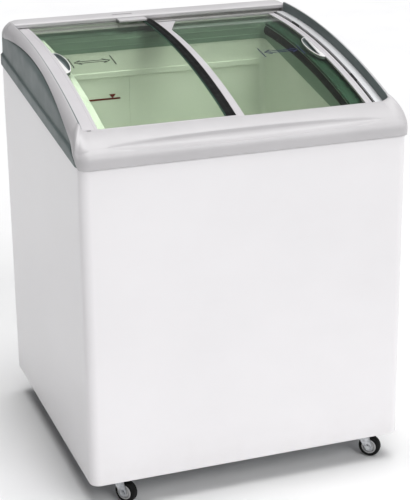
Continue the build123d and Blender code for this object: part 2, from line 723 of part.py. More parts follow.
with BuildPart() as side_seals:
    extrude(band(LID_EDGE + 0.6, -259.5, 310.5, R_SHELF, R_FRAME - 5), amount=THROAT_X - LID_EDGE - 0.6)
    extrude(band(-THROAT_X, -259.5, 310.5, R_SHELF, R_FRAME - 5), amount=THROAT_X - LID_EDGE - 0.6)
save(side_seals, "side_seals")


# ================================================================ side covers and rims
COVER_ARC = ((-318.0, 787.0), (-20.0, 898.0), (336.0, 903.0))
COVER_IN = 339.0
COVER_OUT = 360.5


def cover_outline(x, low, y0=-330.0, y1=336.0):
    """Side cover between its sloping lower edge and the curve under the rim."""
    with BuildSketch(Plane.YZ.offset(x)) as outline:
        with BuildLine():
            ThreePointArc(*COVER_ARC)
            Polyline(
                COVER_ARC[2], (y1, collar_z(y1) + low), (y0, collar_z(y0) + low),
                COVER_ARC[0],
            )
        make_face()
    return outline.sketch


def side_cover(x0, width, cheek_x, flange_x):
    with BuildPart() as cover:
        extrude(cover_outline(x0, SHELL_LAP + 1), amount=width)
        extrude(band(cheek_x, -272.0, RIM_BACK, R_FRAME - 30, R_FRAME + CHEEK_UP), amount=RIM_X - COVER_IN)
        with BuildSketch(Plane.YZ.offset(flange_x)):
            with BuildLine():
                Polyline(
                    (-326, collar_z(-326)), (336, collar_z(336)), (336, collar_z(336) + FLANGE_H),
                    (-300, collar_z(-300) + FLANGE_H), (-326, collar_z(-326) + 14), close=True,
                )
            make_face()
        extrude(amount=REACH_X - HALF_X)
        # the flange is joined to the cover above the steel edge
        with BuildSketch(Plane.YZ.offset(min(x0, flange_x))):
            with BuildLine():
                Polyline(
                    (-322, collar_z(-322) + SHELL_LAP + 1), (336, collar_z(336) + SHELL_LAP + 1),
                    (336, collar_z(336) + FLANGE_H), (-300, collar_z(-300) + FLANGE_H), close=True,
                )
            make_face()
        extrude(amount=REACH_X - COVER_IN)
    return cover.part


with BuildPart() as side_cover_right:
    add(side_cover(COVER_IN, COVER_OUT - COVER_IN, COVER_IN, HALF_X))
save(side_cover_right, "side_cover_right")

with BuildPart() as side_cover_left:
    add(side_cover(-COVER_OUT, COVER_OUT - COVER_IN, -RIM_X, -REACH_X))
save(side_cover_left, "side_cover_left")


def rim_piece(x0, outer_x):
    """Rounded light moulding on top of a side cover."""
    with BuildPart() as rim:
        extrude(band(x0, RIM_FRONT, RIM_BACK, R_FRAME - 40, R_FRAME + RIM_UP), amount=RIM_OUT - RIM_X)
        crest = rim.edges().filter_by(GeomType.CIRCLE).filter_by(
            lambda edge: abs(edge.center().X - outer_x) < 0.1 and edge.radius > R_FRAME
        )
        fillet(crest, 11)
        add(side_cover_left.part, mode=Mode.SUBTRACT)
        add(side_cover_right.part, mode=Mode.SUBTRACT)
        extrude(cover_outline(-400, -60), amount=800, mode=Mode.SUBTRACT)
    return rim.part


with BuildPart() as side_rim_right:
    add(rim_piece(RIM_X, RIM_OUT))
save(side_rim_right, "side_rim_right")

with BuildPart() as side_rim_left:
    add(rim_piece(-RIM_OUT, -RIM_OUT))
save(side_rim_left, "side_rim_left")


# ================================================================ front beam and rear rail
BEAM_BACK = -258.0        # beside the lids
BEAM_LIP = -279.0         # over the lids' front edges
BEAM_LOW = 768.0
SCOOP_R = 32.6           # radius of the scoop's section
SCOOP_SWEEP = 5061.0     # long radius that lets the scoop run out towards both ends
SCOOP_Y = -343.3
SCOOP_Z = 826.2
SCOOP_OUT = (-0.663, 0.749)
SCOOP_HALF = 340.0
scoop_rise = SCOOP_HALF**2 / (2 * SCOOP_SWEEP)
scoop_end_y = SCOOP_Y + SCOOP_OUT[0] * scoop_rise
scoop_end_z = SCOOP_Z + SCOOP_OUT[1] * scoop_rise
with BuildPart() as scoop:
    with BuildLine() as scoop_path:
        ThreePointArc(
            (-SCOOP_HALF, scoop_end_y, scoop_end_z), (0, SCOOP_Y, SCOOP_Z),
            (SCOOP_HALF, scoop_end_y, scoop_end_z),
        )
    with BuildSketch(Plane(scoop_path.wire() @ 0, z_dir=scoop_path.wire() % 0)):
        Circle(SCOOP_R)
    sweep()

with BuildPart() as front_beam:
    with BuildSketch(Plane.YZ.offset(-HALF_X)):
        with BuildLine():
            ThreePointArc((BEAM_BACK, 834), (-305, 820), (-333, 800))
            ThreePointArc((-333, 800), (-339, 792.5), (-REACH_Y, 784))
            Polyline(
                (-REACH_Y, 784), (-338.5, BEAM_LOW), (-HALF_Y - 0.1, BEAM_LOW), (-HALF_Y - 0.1, 782),
                (-292.2, 787), (-292.2, 800), (-288.2, 800), (-288.2, 823.6), (BEAM_BACK, 831.4),
                (BEAM_BACK, 834),
            )
        make_face()
    extrude(amount=WIDTH)
    # rounded corners, seen from above and from the front
    with BuildSketch(Plane.XY.offset(700)) as beam_plan:
        with Locations((0, -REACH_Y - 3 + 150)):
            Rectangle(WIDTH, 300)
        fillet(beam_plan.vertices().group_by(Axis.Y)[0], CORNER_R + 6)
    extrude(amount=200, mode=Mode.INTERSECT)
    with BuildSketch(Plane.XZ.offset(200)):
        with Locations((0, 740)):
            RectangleRounded(WIDTH, 200, 36)
    extrude(amount=200, mode=Mode.INTERSECT)
    with BuildSketch(Plane.XY.offset(790)):
        with Locations((0, BEAM_LIP + 50)):
            Rectangle(2 * LEDGE_X, 100)
    extrude(amount=100, mode=Mode.SUBTRACT)
    add(scoop.part, mode=Mode.SUBTRACT)
    for neighbour in (side_cover_left, side_cover_right, side_rim_left, side_rim_right):
        add(neighbour.part, mode=Mode.SUBTRACT)
    extrude(cover_outline(-400, -60, y0=-318.1), amount=400 - COVER_IN, mode=Mode.SUBTRACT)
    extrude(cover_outline(COVER_IN, -60, y0=-318.1), amount=400 - COVER_IN, mode=Mode.SUBTRACT)
    with Locations((-72, BEAM_LIP - 3.4, 831)):
        Cylinder(2.2, 6, mode=Mode.SUBTRACT)
save(front_beam, "front_beam")

RAIL_TOP = 942.0
SLOT_X = -71.0
with BuildPart() as rear_rail:
    with BuildSketch(Plane.YZ.offset(-RIM_OUT)):
        with BuildLine():
            Polyline(
                (RAIL_FRONT, 856), (RAIL_FRONT, 933), (311, 936), (333, RAIL_TOP), (338, RAIL_TOP), (REACH_Y, 938),
                (REACH_Y, collar_z(HALF_Y)), (HALF_Y + 0.1, collar_z(HALF_Y)), (HALF_Y + 0.1, 856), close=True,
            )
        make_face()
    extrude(amount=2 * RIM_OUT)
    with BuildSketch(Plane.XZ.offset(-400)):
        with Locations((0, RAIL_TOP - 150)):
            RectangleRounded(2 * RIM_OUT, 300, 30)
    extrude(amount=200, mode=Mode.INTERSECT)
    extrude(band(-LEDGE_X, 300, 335.6, R_SHELF - 0.1, TRACK_TOP + 0.1), amount=2 * LEDGE_X, mode=Mode.SUBTRACT)
    add(side_cover_left.part, mode=Mode.SUBTRACT)
    add(side_cover_right.part, mode=Mode.SUBTRACT)
    with BuildSketch(Plane.XY.offset(RAIL_TOP - 4)):
        with Locations((SLOT_X, 322)):
            SlotOverall(50, 4)
    extrude(amount=10, mode=Mode.SUBTRACT)
save(rear_rail, "rear_rail")

with BuildPart() as lid_stop:
    extrude(band(-88, 286, RAIL_FRONT, R_HIGH + 2.2, R_HIGH + 8), amount=68)
    fillet(lid_stop.edges().filter_by(Axis.X).group_by(Axis.Y)[0], 2)
save(lid_stop, "lid_stop")


# ================================================================ castors
PLATE_LOW = BASE_Z - 2.5
RACE_LOW = 59.9
CROWN_TOP = 59.5
CROWN_LOW = 53.5
CHEEK_IN = 11.5
CHEEK_OUT = 13.5
TYRE_W = 18.0
HUB_R = 16.5

castor_spots = [(x, y) for x, y, _ in CASTORS.values()]
with BuildPart() as castor_plates:
    with BuildSketch(Plane.XY.offset(PLATE_LOW)):
        with Locations(*castor_spots):
            RectangleRounded(64, 64, 6)
            with GridLocations(46, 46, 2, 2):
                Circle(3.0, mode=Mode.SUBTRACT)
    extrude(amount=BASE_Z - PLATE_LOW)
    with BuildSketch(Plane.XY.offset(RACE_LOW)):
        with Locations(*castor_spots):
            Circle(19)
    extrude(amount=PLATE_LOW - RACE_LOW)
    with BuildSketch(Plane.XY.offset(CROWN_LOW - 0.4)):
        with Locations(*castor_spots):
            Circle(PIN_R)
    extrude(amount=RACE_LOW - CROWN_LOW + 0.4)
    with BuildSketch(Plane.XY.offset(CROWN_LOW - 3)):
        with Locations(*castor_spots):
            Circle(7.5)
    extrude(amount=2.6)
save(castor_plates, "castor_plates")

bolt_spots = [(x + dx, y + dy) for x, y in castor_spots for dx in (-23, 23) for dy in (-23, 23)]
with BuildPart() as castor_bolts:
    with BuildSketch(Plane.XY.offset(PLATE_LOW - 2.6)):
        with Locations(*bolt_spots):
            RegularPolygon(5, 6)
    extrude(amount=2.6)
    with BuildSketch(Plane.XY.offset(PLATE_LOW)):
        with Locations(*bolt_spots):
            Circle(3.0)
    extrude(amount=9)
    with BuildSketch(Plane.XY.offset(BASE_Z + TRAY)):
        with Locations(*bolt_spots):
            RegularPolygon(5, 6)
            Circle(3.0, mode=Mode.SUBTRACT)
    extrude(amount=4)
save(castor_bolts, "castor_bolts")


def castor_place(x, y, angle):
    """Plane on the floor under the swivel pin, with its X axis towards the wheel."""
    return Plane(
        origin=(x, y, 0),
        x_dir=(math.cos(math.radians(angle)), math.sin(math.radians(angle)), 0),
        z_dir=(0, 0, 1),
    )


def upright(place, offset):
    """Vertical plane through the swivel pin and the wheel, moved sideways."""
    return Plane(origin=place.origin + place.y_dir * offset, x_dir=place.x_dir, z_dir=-place.y_dir)


def make_fork(place):
    with BuildPart() as fork:
        with BuildSketch(place.offset(CROWN_LOW)):
            Circle(19.5)
            with Locations((11, 0)):
                Rectangle(24, 2 * CHEEK_OUT)
        extrude(amount=2.5)
        with BuildSketch(place.offset(CROWN_LOW + 2.5)):
            Circle(17)
        extrude(amount=CROWN_TOP - CROWN_LOW - 2.5, taper=12)
        for offset in (-CHEEK_OUT, CHEEK_IN):
            with BuildSketch(upright(place, offset + CHEEK_OUT - CHEEK_IN)):
                with BuildLine():
                    Line((-8, CROWN_LOW + 1), (23, CROWN_LOW + 1))
                    Line((23, CROWN_LOW + 1), (TRAIL + 9, WHEEL_R + 1))
                    ThreePointArc(
                        (TRAIL + 9, WHEEL_R + 1), (TRAIL + 2, WHEEL_R - 9), (TRAIL - 8, WHEEL_R - 3),
                    )
                    ThreePointArc((TRAIL - 8, WHEEL_R - 3), (5, 36), (-8, CROWN_LOW + 1))
                make_face()
                with Locations((TRAIL, WHEEL_R)):
                    Circle(AXLE_R, mode=Mode.SUBTRACT)
            extrude(amount=CHEEK_OUT - CHEEK_IN)
        with BuildSketch(place.offset(CROWN_LOW - 5)):
            Circle(PIN_R + RUN_FIT)
        extrude(amount=20, mode=Mode.SUBTRACT)
    return fork.part


def make_axle(place):
    """Axle bolt, with a domed head on one side and a nut on the other."""
    with BuildPart() as axle:
        with BuildSketch(upright(place, CHEEK_OUT)):
            with Locations((TRAIL, WHEEL_R)):
                Circle(AXLE_R)
        extrude(amount=2 * CHEEK_OUT)
        with BuildSketch(upright(place, -CHEEK_OUT)):
            with Locations((TRAIL, WHEEL_R)):
                Circle(6.5)
        extrude(amount=2.6, taper=20)
        with BuildSketch(upright(place, CHEEK_OUT + 3)):
            with Locations((TRAIL, WHEEL_R)):
                RegularPolygon(6.5, 6)
        extrude(amount=3)
    return axle.part


def make_hub(place):
    with BuildPart() as hub:
        with BuildSketch(upright(place, TYRE_W / 2 + 1)):
            with Locations((TRAIL, WHEEL_R)):
                Circle(HUB_R)
        extrude(amount=TYRE_W + 2)
        for offset in (TYRE_W / 2 + 1, -TYRE_W / 2 + 2):
            with BuildSketch(upright(place, offset)):
                with Locations((TRAIL, WHEEL_R)):
                    Circle(14)
                    Circle(9, mode=Mode.SUBTRACT)
            extrude(amount=3, mode=Mode.SUBTRACT)
        with BuildSketch(upright(place, TYRE_W)):
            with Locations((TRAIL, WHEEL_R)):
                Circle(AXLE_R + RUN_FIT)
        extrude(amount=2 * TYRE_W, mode=Mode.SUBTRACT)
    return hub.part


def make_tyre(place):
    with BuildPart() as tyre:
        with BuildSketch(upright(place, TYRE_W / 2)):
            with Locations((TRAIL, WHEEL_R)):
                Circle(WHEEL_R)
        extrude(amount=TYRE_W)
        rims = tyre.edges().filter_by(GeomType.CIRCLE)
        fillet(rims, 4)
        with BuildSketch(upright(place, TYRE_W)):
            with Locations((TRAIL, WHEEL_R)):
                Circle(HUB_R)
        extrude(amount=2 * TYRE_W, mode=Mode.SUBTRACT)
    return tyre.part


for corner, (stem_x, stem_y, turn) in CASTORS.items():
    spot = castor_place(stem_x, stem_y, turn)
    for piece, make in (("fork", make_fork), ("axle", make_axle), ("hub", make_hub), ("tyre", make_tyre)):
        with BuildPart() as castor_piece:
            add(make(spot))
        save(castor_piece, f"castor_{piece}_{corner}")
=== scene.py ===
import json
from math import acos, asin, atan2, cos, dist, exp, hypot, pi, radians, sin, sqrt

import bmesh
import bpy
from mathutils import Matrix, Vector


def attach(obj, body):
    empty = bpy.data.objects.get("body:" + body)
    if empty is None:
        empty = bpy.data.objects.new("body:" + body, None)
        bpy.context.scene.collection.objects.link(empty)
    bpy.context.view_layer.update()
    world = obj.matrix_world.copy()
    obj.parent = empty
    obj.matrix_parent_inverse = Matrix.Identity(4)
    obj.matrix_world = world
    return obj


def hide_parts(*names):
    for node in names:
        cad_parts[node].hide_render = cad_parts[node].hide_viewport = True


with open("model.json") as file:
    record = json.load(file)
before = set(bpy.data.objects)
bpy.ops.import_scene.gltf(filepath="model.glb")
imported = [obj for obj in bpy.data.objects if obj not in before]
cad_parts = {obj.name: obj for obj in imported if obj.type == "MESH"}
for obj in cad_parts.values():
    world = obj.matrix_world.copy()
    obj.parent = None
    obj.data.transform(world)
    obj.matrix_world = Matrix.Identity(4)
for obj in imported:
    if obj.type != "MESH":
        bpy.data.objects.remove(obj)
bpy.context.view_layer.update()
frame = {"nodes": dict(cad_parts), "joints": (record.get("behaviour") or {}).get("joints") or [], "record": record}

# Ice-cream display chest freezer. Metres, +X right, front towards -Y, +Z up, floor at z = 0.

# ---- driving dimensions
ARC_Y = 0.311  # centre of the lids' curve
ARC_Z = -0.865
R_FRAME = 1.784  # curve that the ledges, covers and rims follow
R_HIGH = R_FRAME + 0.005  # outer face of the left glass
R_LOW = R_FRAME - 0.005  # outer face of the right glass
GLASS = 0.004  # thickness of both panes
BASE_Z = 0.065  # underside of the cabinet
HALF_X = 0.362  # outside of the steel wrapper
HALF_Y = 0.3365
SHEET = 0.0012  # its thickness
CORNER_R = 0.022  # its upright front corners
COLLAR_Z = 0.804  # lower edge of the top frame at y = 0
COLLAR_SLOPE = 0.107  # rise of that edge towards the back
FLANGE = 0.026  # height of the flange strip of the side covers
FLANGE_X = 0.3655  # outside of that strip
NOSE_Y = -0.341  # foremost face of the front beam
NOSE_X = 0.3654  # widest place of its rounded corners
NOSE_R = 0.025  # radius of those corners
BEAM_END = 0.326  # where its straight front ends
BEAM_BACK = -0.258  # where the arc of the beam's top would end
BEAM_LIP = -0.280  # its back edge, over the lids' front members
BEAM_LOW = 0.768  # its lower edge
BEAM_TOP = 0.834  # its height at BEAM_BACK
RIM_IN = 0.342  # inner edge of the side rims
RIM_FRONT = -0.262  # from here on they no longer change their shape
RIM_BACK = 0.3082  # where they meet the rear rail
SHOULDER_X = 0.322  # the rim and the cover share one rounded shoulder
SHOULDER_R = 0.0375
SHOULDER_DROP = 0.0118
SPLIT = ((-0.318, 0.787), (-0.020, 0.898), (0.336, 0.903))  # the arc between rim and cover, as (y, z)
SPLIT_FRONT = -0.330  # in front of this the moulding covers the whole height
COVER_FRONT = -0.3285
COVER_BACK = 0.336
CHEEK_X = 0.339  # inner face of the covers beside the lids
CHEEK_FRONT = -0.2885
CHEEK_UP = 0.0215  # their height over the lid curve
LID_EDGE = 0.317  # outer side of each lid
LID_FRAME = 0.016  # width of their side frames
LEFT_FRONT = -0.264  # front ends of those frames
RIGHT_FRONT = -0.254
BAR_LEFT = -0.012  # right lid's centre frame
BAR_RIGHT = 0.022
PANE_FRONT = -0.276
PANE_BACK = 0.326
TANK = 0.278  # inner half width and half depth of the tank
SHELF_X = 0.3168  # outer edge of the shelf round the throat
SHELF_DEEP = -0.0199  # its face, under the lid curve
RAIL_BACK = 0.341
RAIL_LOW = 0.842
RAIL_TOP = 0.942
RAIL_UNDER = 0.9277  # underside of its lip, over the track


# ---- geometry helpers
def lid_z(y, r):
    """Height at depth y of the lid curve of radius r."""
    return ARC_Z + sqrt(r * r - (y - ARC_Y) ** 2)


def collar_z(y):
    """Height at depth y of the top frame's lower edge."""
    return COLLAR_Z + COLLAR_SLOPE * y


def spread(low, high, count):
    """count + 1 evenly spaced values."""
    return [low + (high - low) * i / count for i in range(count + 1)]


def smooth(t):
    """Smooth step from 0 to 1."""
    t = min(max(t, 0.0), 1.0)
    return t * t * (3 - 2 * t)


def circle_through(a, b, c):
    """Centre and radius of the circle through three points of a plane."""
    d = 2 * (a[0] * (b[1] - c[1]) + b[0] * (c[1] - a[1]) + c[0] * (a[1] - b[1]))
    sa, sb, sc = (p[0] ** 2 + p[1] ** 2 for p in (a, b, c))
    u = (sa * (b[1] - c[1]) + sb * (c[1] - a[1]) + sc * (a[1] - b[1])) / d
    v = (sa * (c[0] - b[0]) + sb * (a[0] - c[0]) + sc * (b[0] - a[0])) / d
    return u, v, hypot(a[0] - u, a[1] - v)


def arc_points(a, b, c, count):
    """Points along the arc from a to c through b."""
    u, v, r = circle_through(a, b, c)
    start, middle, end = (atan2(p[1] - v, p[0] - u) for p in (a, b, c))
    turn = (end - start) % (2 * pi)
    if (middle - start) % (2 * pi) > turn:
        turn -= 2 * pi
    angles = [start + turn * t for t in spread(0, 1, count)]
    return [(u + r * cos(a), v + r * sin(a)) for a in angles]


SPLIT_U, SPLIT_V, SPLIT_R = circle_through(*SPLIT)


def split_z(y):
    """Height of the line between the side cover and the rim."""
    if y >= SPLIT[0][0]:
        return SPLIT_V + sqrt(SPLIT_R**2 - (y - SPLIT_U) ** 2)
    drop = (SPLIT[0][0] - y) / 0.012
    return SPLIT[0][1] + (BEAM_LOW - SPLIT[0][1]) * min(drop, 1.0)


def shoulder_x(y, z):
    """Half width of the rounded shoulder at depth y and height z."""
    rise = z - (lid_z(y, R_FRAME) - SHOULDER_DROP)
    if rise <= 0:
        return SHOULDER_X + SHOULDER_R
    return SHOULDER_X + sqrt(max(SHOULDER_R**2 - rise**2, 0.0))


def rounded(points, radius, steps=4):
    """Closed outline with its corners rounded; radius is one value or one for each corner."""
    radii = radius if isinstance(radius, (list, tuple)) else [radius] * len(points)
    outline = []
    for i, corner in enumerate(points):
        here = Vector(corner)
        before = (Vector(points[i - 1]) - here).normalized()
        after = (Vector(points[(i + 1) % len(points)]) - here).normalized()
        if radii[i] <= 0:
            outline.append(tuple(here))
            continue
        start, end = here + before * radii[i], here + after * radii[i]
        for t in spread(0, 1, steps):
            outline.append(tuple(start * (1 - t) ** 2 + here * 2 * t * (1 - t) + end * t * t))
    return outline


def resample(path, count):
    """The same open path with count + 1 points, evenly spaced along its length."""
    lengths = [0.0]
    for p, q in zip(path, path[1:]):
        lengths.append(lengths[-1] + dist(p, q))
    result, k = [], 0
    for target in spread(0, lengths[-1], count):
        while k < len(path) - 2 and lengths[k + 1] < target:
            k += 1
        span = max(lengths[k + 1] - lengths[k], 1e-12)
        t = min(max((target - lengths[k]) / span, 0.0), 1.0)
        result.append(tuple(a + (b - a) * t for a, b in zip(path[k], path[k + 1])))
    return result


# ---- mesh helpers
def put(name, data):
    """New object in the scene."""
    obj = bpy.data.objects.new(name, data)
    bpy.context.scene.collection.objects.link(obj)
    return obj


def piece(name, shape, slot, body="cabinet", finish=None, bevel=0.0, crease=32.0):
    """Mesh object on a body, smooth between its creases, in its slot's finish or one of its own."""
    vertices, faces = shape
    mesh = bpy.data.meshes.new(name)
    mesh.from_pydata([tuple(v) for v in vertices], [], faces)
    bm = bmesh.new()
    bm.from_mesh(mesh)
    bmesh.ops.remove_doubles(bm, verts=bm.verts, dist=1e-6)
    bmesh.ops.dissolve_degenerate(bm, edges=bm.edges, dist=1e-6)
    bmesh.ops.recalc_face_normals(bm, faces=bm.faces)
    bm.to_mesh(mesh)
    bm.free()
    mesh.materials.append(finish or FINISHES[slot])
    mesh.shade_smooth()
    mesh.set_sharp_from_angle(angle=radians(crease))
    obj = put(name, mesh)
    if bevel > 0:
        add_bevel(obj, bevel, crease)
    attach(obj, body)
    return obj


def add_bevel(obj, width, crease):
    """Small rounded edges, made when the mesh is evaluated."""
    bevel = obj.modifiers.new("edges", "BEVEL")
    bevel.width = width
    bevel.segments = 2
    bevel.limit_method = "ANGLE"
    bevel.angle_limit = radians(crease)
    bevel.use_clamp_overlap = True
    bevel.harden_normals = True


def loft(sections, ring=False):
    """Vertices and faces of a closed skin through closed sections of the same point count."""
    count, total = len(sections[0]), len(sections)
    vertices = [p for section in sections for p in section]
    faces = []
    for i in range(total if ring else total - 1):
        j = (i + 1) % total
        for k in range(count):
            m = (k + 1) % count
            faces.append((i * count + k, i * count + m, j * count + m, j * count + k))
    if not ring:
        faces.append(tuple(reversed(range(count))))
        faces.append(tuple(range((total - 1) * count, total * count)))
    return vertices, faces


def sheet(sections):
    """Vertices and faces of an open skin through open sections of the same point count."""
    count = len(sections[0])
    vertices = [p for section in sections for p in section]
    faces = []
    for i in range(len(sections) - 1):
        for k in range(count - 1):
            a, b = i * count + k, (i + 1) * count + k
            faces.append((a, b, b + 1, a + 1))
    return vertices, faces


def thicken(obj, thickness, outward):
    """Gives an open skin a wall behind its outer face, which looks along outward at its middle."""
    polygons = obj.data.polygons
    if polygons[len(polygons) // 2].normal.dot(Vector(outward)) < 0:
        obj.data.flip_normals()
    wall = obj.modifiers.new("wall", "SOLIDIFY")
    wall.thickness = thickness
    wall.offset = -1


def join(*parts):
    """One vertex list and face list from several."""
    vertices, faces = [], []
    for more_vertices, more_faces in parts:
        base = len(vertices)
        vertices += more_vertices
        faces += [tuple(i + base for i in face) for face in more_faces]
    return vertices, faces


def strip(outline, r, y0, y1, steps=72):
    """Strip that follows the lid curve; the outline's points are (x, height above the curve)."""
    return loft([[(x, y, lid_z(y, r + h)) for x, h in outline] for y in spread(y0, y1, steps)])


def lathe(outline, centre, axis, steps=56):
    """Ring round an axis; the outline's points are (radius, place along the axis)."""
    axis = Vector(axis).normalized()
    across = axis.cross(Vector((0, 0, 1)) if abs(axis.z) < 0.9 else Vector((1, 0, 0))).normalized()
    up = axis.cross(across)
    sections = []
    for turn in spread(0, 2 * pi, steps)[:-1]:
        out = across * cos(turn) + up * sin(turn)
        sections.append([Vector(centre) + out * radius + axis * place for radius, place in outline])
    return loft(sections, ring=True)


def block(low, high):
    """Box between two opposite corners."""
    (x0, y0, z0), (x1, y1, z1) = low, high
    return loft([[(x, y0, z0), (x, y1, z0), (x, y1, z1), (x, y0, z1)] for x in (x0, x1)])


def cut(obj, shape, crease):
    """Takes a closed shape out of a piece, whose creases are then found again."""
    vertices, faces = shape
    mesh = bpy.data.meshes.new("cutter")
    mesh.from_pydata([tuple(v) for v in vertices], [], faces)
    bm = bmesh.new()
    bm.from_mesh(mesh)
    bmesh.ops.recalc_face_normals(bm, faces=bm.faces)
    bm.to_mesh(mesh)
    bm.free()
    cutter = put("cutter", mesh)
    boolean = obj.modifiers.new("cut", "BOOLEAN")
    boolean.operation = "DIFFERENCE"
    boolean.solver = "EXACT"
    boolean.object = cutter
    bpy.context.view_layer.update()
    result = bpy.data.meshes.new_from_object(obj.evaluated_get(bpy.context.evaluated_depsgraph_get()))
    obj.modifiers.clear()
    obj.data = result
    obj.data.set_sharp_from_angle(angle=radians(crease))
    bpy.data.objects.remove(cutter)


# ---- materials
def linear(values):
    """Linear colour with alpha, from sRGB values of 0 to 255."""
    channels = [v / 255 / 12.92 if v <= 10 else ((v / 255 + 0.055) / 1.055) ** 2.4 for v in values]
    return (*channels, 1.0)


class Nodes:
    """Makes and links the nodes of one tree."""

    def __init__(self, tree):
        self.tree = tree

    def add(self, kind, **values):
        """New node, with values for its inputs; their names have underscores for spaces."""
        node = self.tree.nodes.new("ShaderNode" + kind)
        for name, value in values.items():
            node.inputs[name.replace("_", " ")].default_value = value
        return node

    def link(self, source, target):
        self.tree.links.new(source, target)

    def levels(self, source, low, high, to_low=0.0, to_high=1.0):
        """Maps low..high of the source to to_low..to_high."""
        node = self.add("MapRange", From_Min=low, From_Max=high, To_Min=to_low, To_Max=to_high)
        self.link(source, node.inputs["Value"])
        return node.outputs[0]

    def times(self, a, b):
        node = self.add("Math")
        node.operation = "MULTIPLY"
        self.link(a, node.inputs[0])
        if isinstance(b, float):
            node.inputs[1].default_value = b
        else:
            self.link(b, node.inputs[1])
        return node.outputs[0]

    def axis(self, vector, name):
        split = self.add("SeparateXYZ")
        self.link(vector, split.inputs[0])
        return split.outputs[name]


class Finish(Nodes):
    """A procedural material round one Principled shader, in object coordinates."""

    def __init__(self, name, metallic=0.0, ior=1.5, coat=0.0, coat_roughness=0.1):
        self.material = bpy.data.materials.new(name)
        self.material.use_nodes = True
        super().__init__(self.material.node_tree)
        self.tree.nodes.clear()
        self.shader = self.add(
            "BsdfPrincipled", Metallic=metallic, IOR=ior, Coat_Weight=coat, Coat_Roughness=coat_roughness
        )
        self.output = self.add("OutputMaterial")
        self.link(self.shader.outputs[0], self.output.inputs["Surface"])
        self.place = self.add("TexCoord").outputs["Object"]

    def noise(self, scale, detail=4.0, stretch=(1, 1, 1), roughness=0.55):
        mapping = self.add("Mapping", Scale=stretch)
        self.link(self.place, mapping.inputs["Vector"])
        texture = self.add("TexNoise", Scale=scale, Detail=detail, Roughness=roughness)
        self.link(mapping.outputs[0], texture.inputs["Vector"])
        return texture.outputs["Fac"]

    def cells(self, scale):
        texture = self.add("TexVoronoi", Scale=scale)
        self.link(self.place, texture.inputs["Vector"])
        return texture.outputs["Distance"]

    def height(self):
        return self.axis(self.place, "Z")

    def ramp(self, source, dark, light):
        """Colour from dark to light, over the middle of the source's range."""
        node = self.add("ValToRGB")
        for element, position, colour in zip(node.color_ramp.elements, (0.35, 0.65), (dark, light)):
            element.position = position
            element.color = linear(colour)
        self.link(source, node.inputs[0])
        return node.outputs[0]

    def over(self, base, colour, mask):
        """Base colour with another colour laid over it where the mask is."""
        node = self.add("Mix")
        node.data_type = "RGBA"
        node.inputs[7].default_value = linear(colour)
        self.link(mask, node.inputs[0])
        self.link(base, node.inputs[6])
        return node.outputs[2]

    def colour(self, source):
        self.link(source, self.shader.inputs["Base Color"])

    def roughness(self, source, low, high):
        self.link(self.levels(source, 0.3, 0.7, low, high), self.shader.inputs["Roughness"])

    def bump(self, source, distance, strength, after=None):
        """Relief of the source, on top of an earlier bump if one is given."""
        node = self.add("Bump", Distance=distance, Strength=strength)
        self.link(source, node.inputs["Height"])
        if after is not None:
            self.link(after, node.inputs["Normal"])
        self.link(node.outputs[0], self.shader.inputs["Normal"])
        return node.outputs[0]


def painted_steel():
    """Gloss enamel with faint orange peel, hand marks and a little floor dirt at the bottom."""
    f = Finish("white_enamel", coat=0.35, coat_roughness=0.12)
    base = f.ramp(f.noise(3.0, 3.0), (238, 236, 238), (241, 239, 241))
    dirt = f.times(f.levels(f.height(), 0.16, 0.066), f.levels(f.noise(26.0, 6.0), 0.42, 0.75))
    base = f.over(base, (196, 190, 180), f.times(dirt, 0.08))
    scuff = f.levels(f.noise(4.0, 3.0, (1, 1, 4)), 0.45, 0.80, 0.0, 0.03)
    f.colour(f.over(base, (205, 203, 202), scuff))
    f.roughness(f.noise(6.0, 2.0), 0.29, 0.34)
    ripple = f.bump(f.noise(38.0, 2.0), 0.0001, 0.2)
    f.bump(f.noise(900.0, 2.0), 0.00001, 0.1, ripple)
    return f.material


def plastic(name, dark, light, low, high, grain=1400.0, coat=0.0, worn=None):
    """Injection-moulded plastic: faint flow marks, fine grain and slightly worn, paler rubs."""
    f = Finish(name, ior=1.49, coat=coat)
    base = f.ramp(f.noise(7.0, 4.0, (1, 1, 1.6)), dark, light)
    if worn is not None:
        rub = f.levels(f.noise(48.0, 7.0, (1, 1, 1), 0.68), 0.60, 0.78, 0.0, 0.22)
        base = f.over(base, worn, rub)
    f.colour(base)
    f.roughness(f.noise(24.0, 5.0), low, high)
    flow = f.bump(f.noise(60.0, 2.0), 0.0001, 0.25)
    f.bump(f.noise(grain, 3.0), 0.00003, 0.6, flow)
    return f.material


def sheet_metal(name, dark, light, low, high, stretch=(1, 1, 1), brushed=260.0, metallic=1.0):
    """Bare, plated or anodised metal with a drawn grain and dull patches."""
    f = Finish(name, metallic=metallic)
    grain = f.noise(brushed, 3.0, stretch)
    patches = f.noise(14.0, 5.0)
    f.colour(f.over(f.ramp(grain, dark, light), dark, f.levels(patches, 0.45, 0.8, 0.0, 0.5)))
    f.roughness(patches, low, high)
    f.bump(grain, 0.00003, 0.4)
    return f.material


def liner_sheet():
    """Pale embossed sheet of the tank, with slight frost bloom towards the floor."""
    f = Finish("liner_sheet", coat=0.2)
    base = f.ramp(f.noise(6.0, 4.0), (228, 232, 224), (240, 242, 236))
    bloom = f.times(f.levels(f.height(), 0.60, 0.20), f.levels(f.noise(30.0, 6.0), 0.45, 0.8))
    f.colour(f.over(base, (214, 222, 222), f.times(bloom, 0.4)))
    f.roughness(f.noise(40.0, 4.0), 0.30, 0.46)
    f.bump(f.cells(420.0), 0.00006, 0.35)
    return f.material


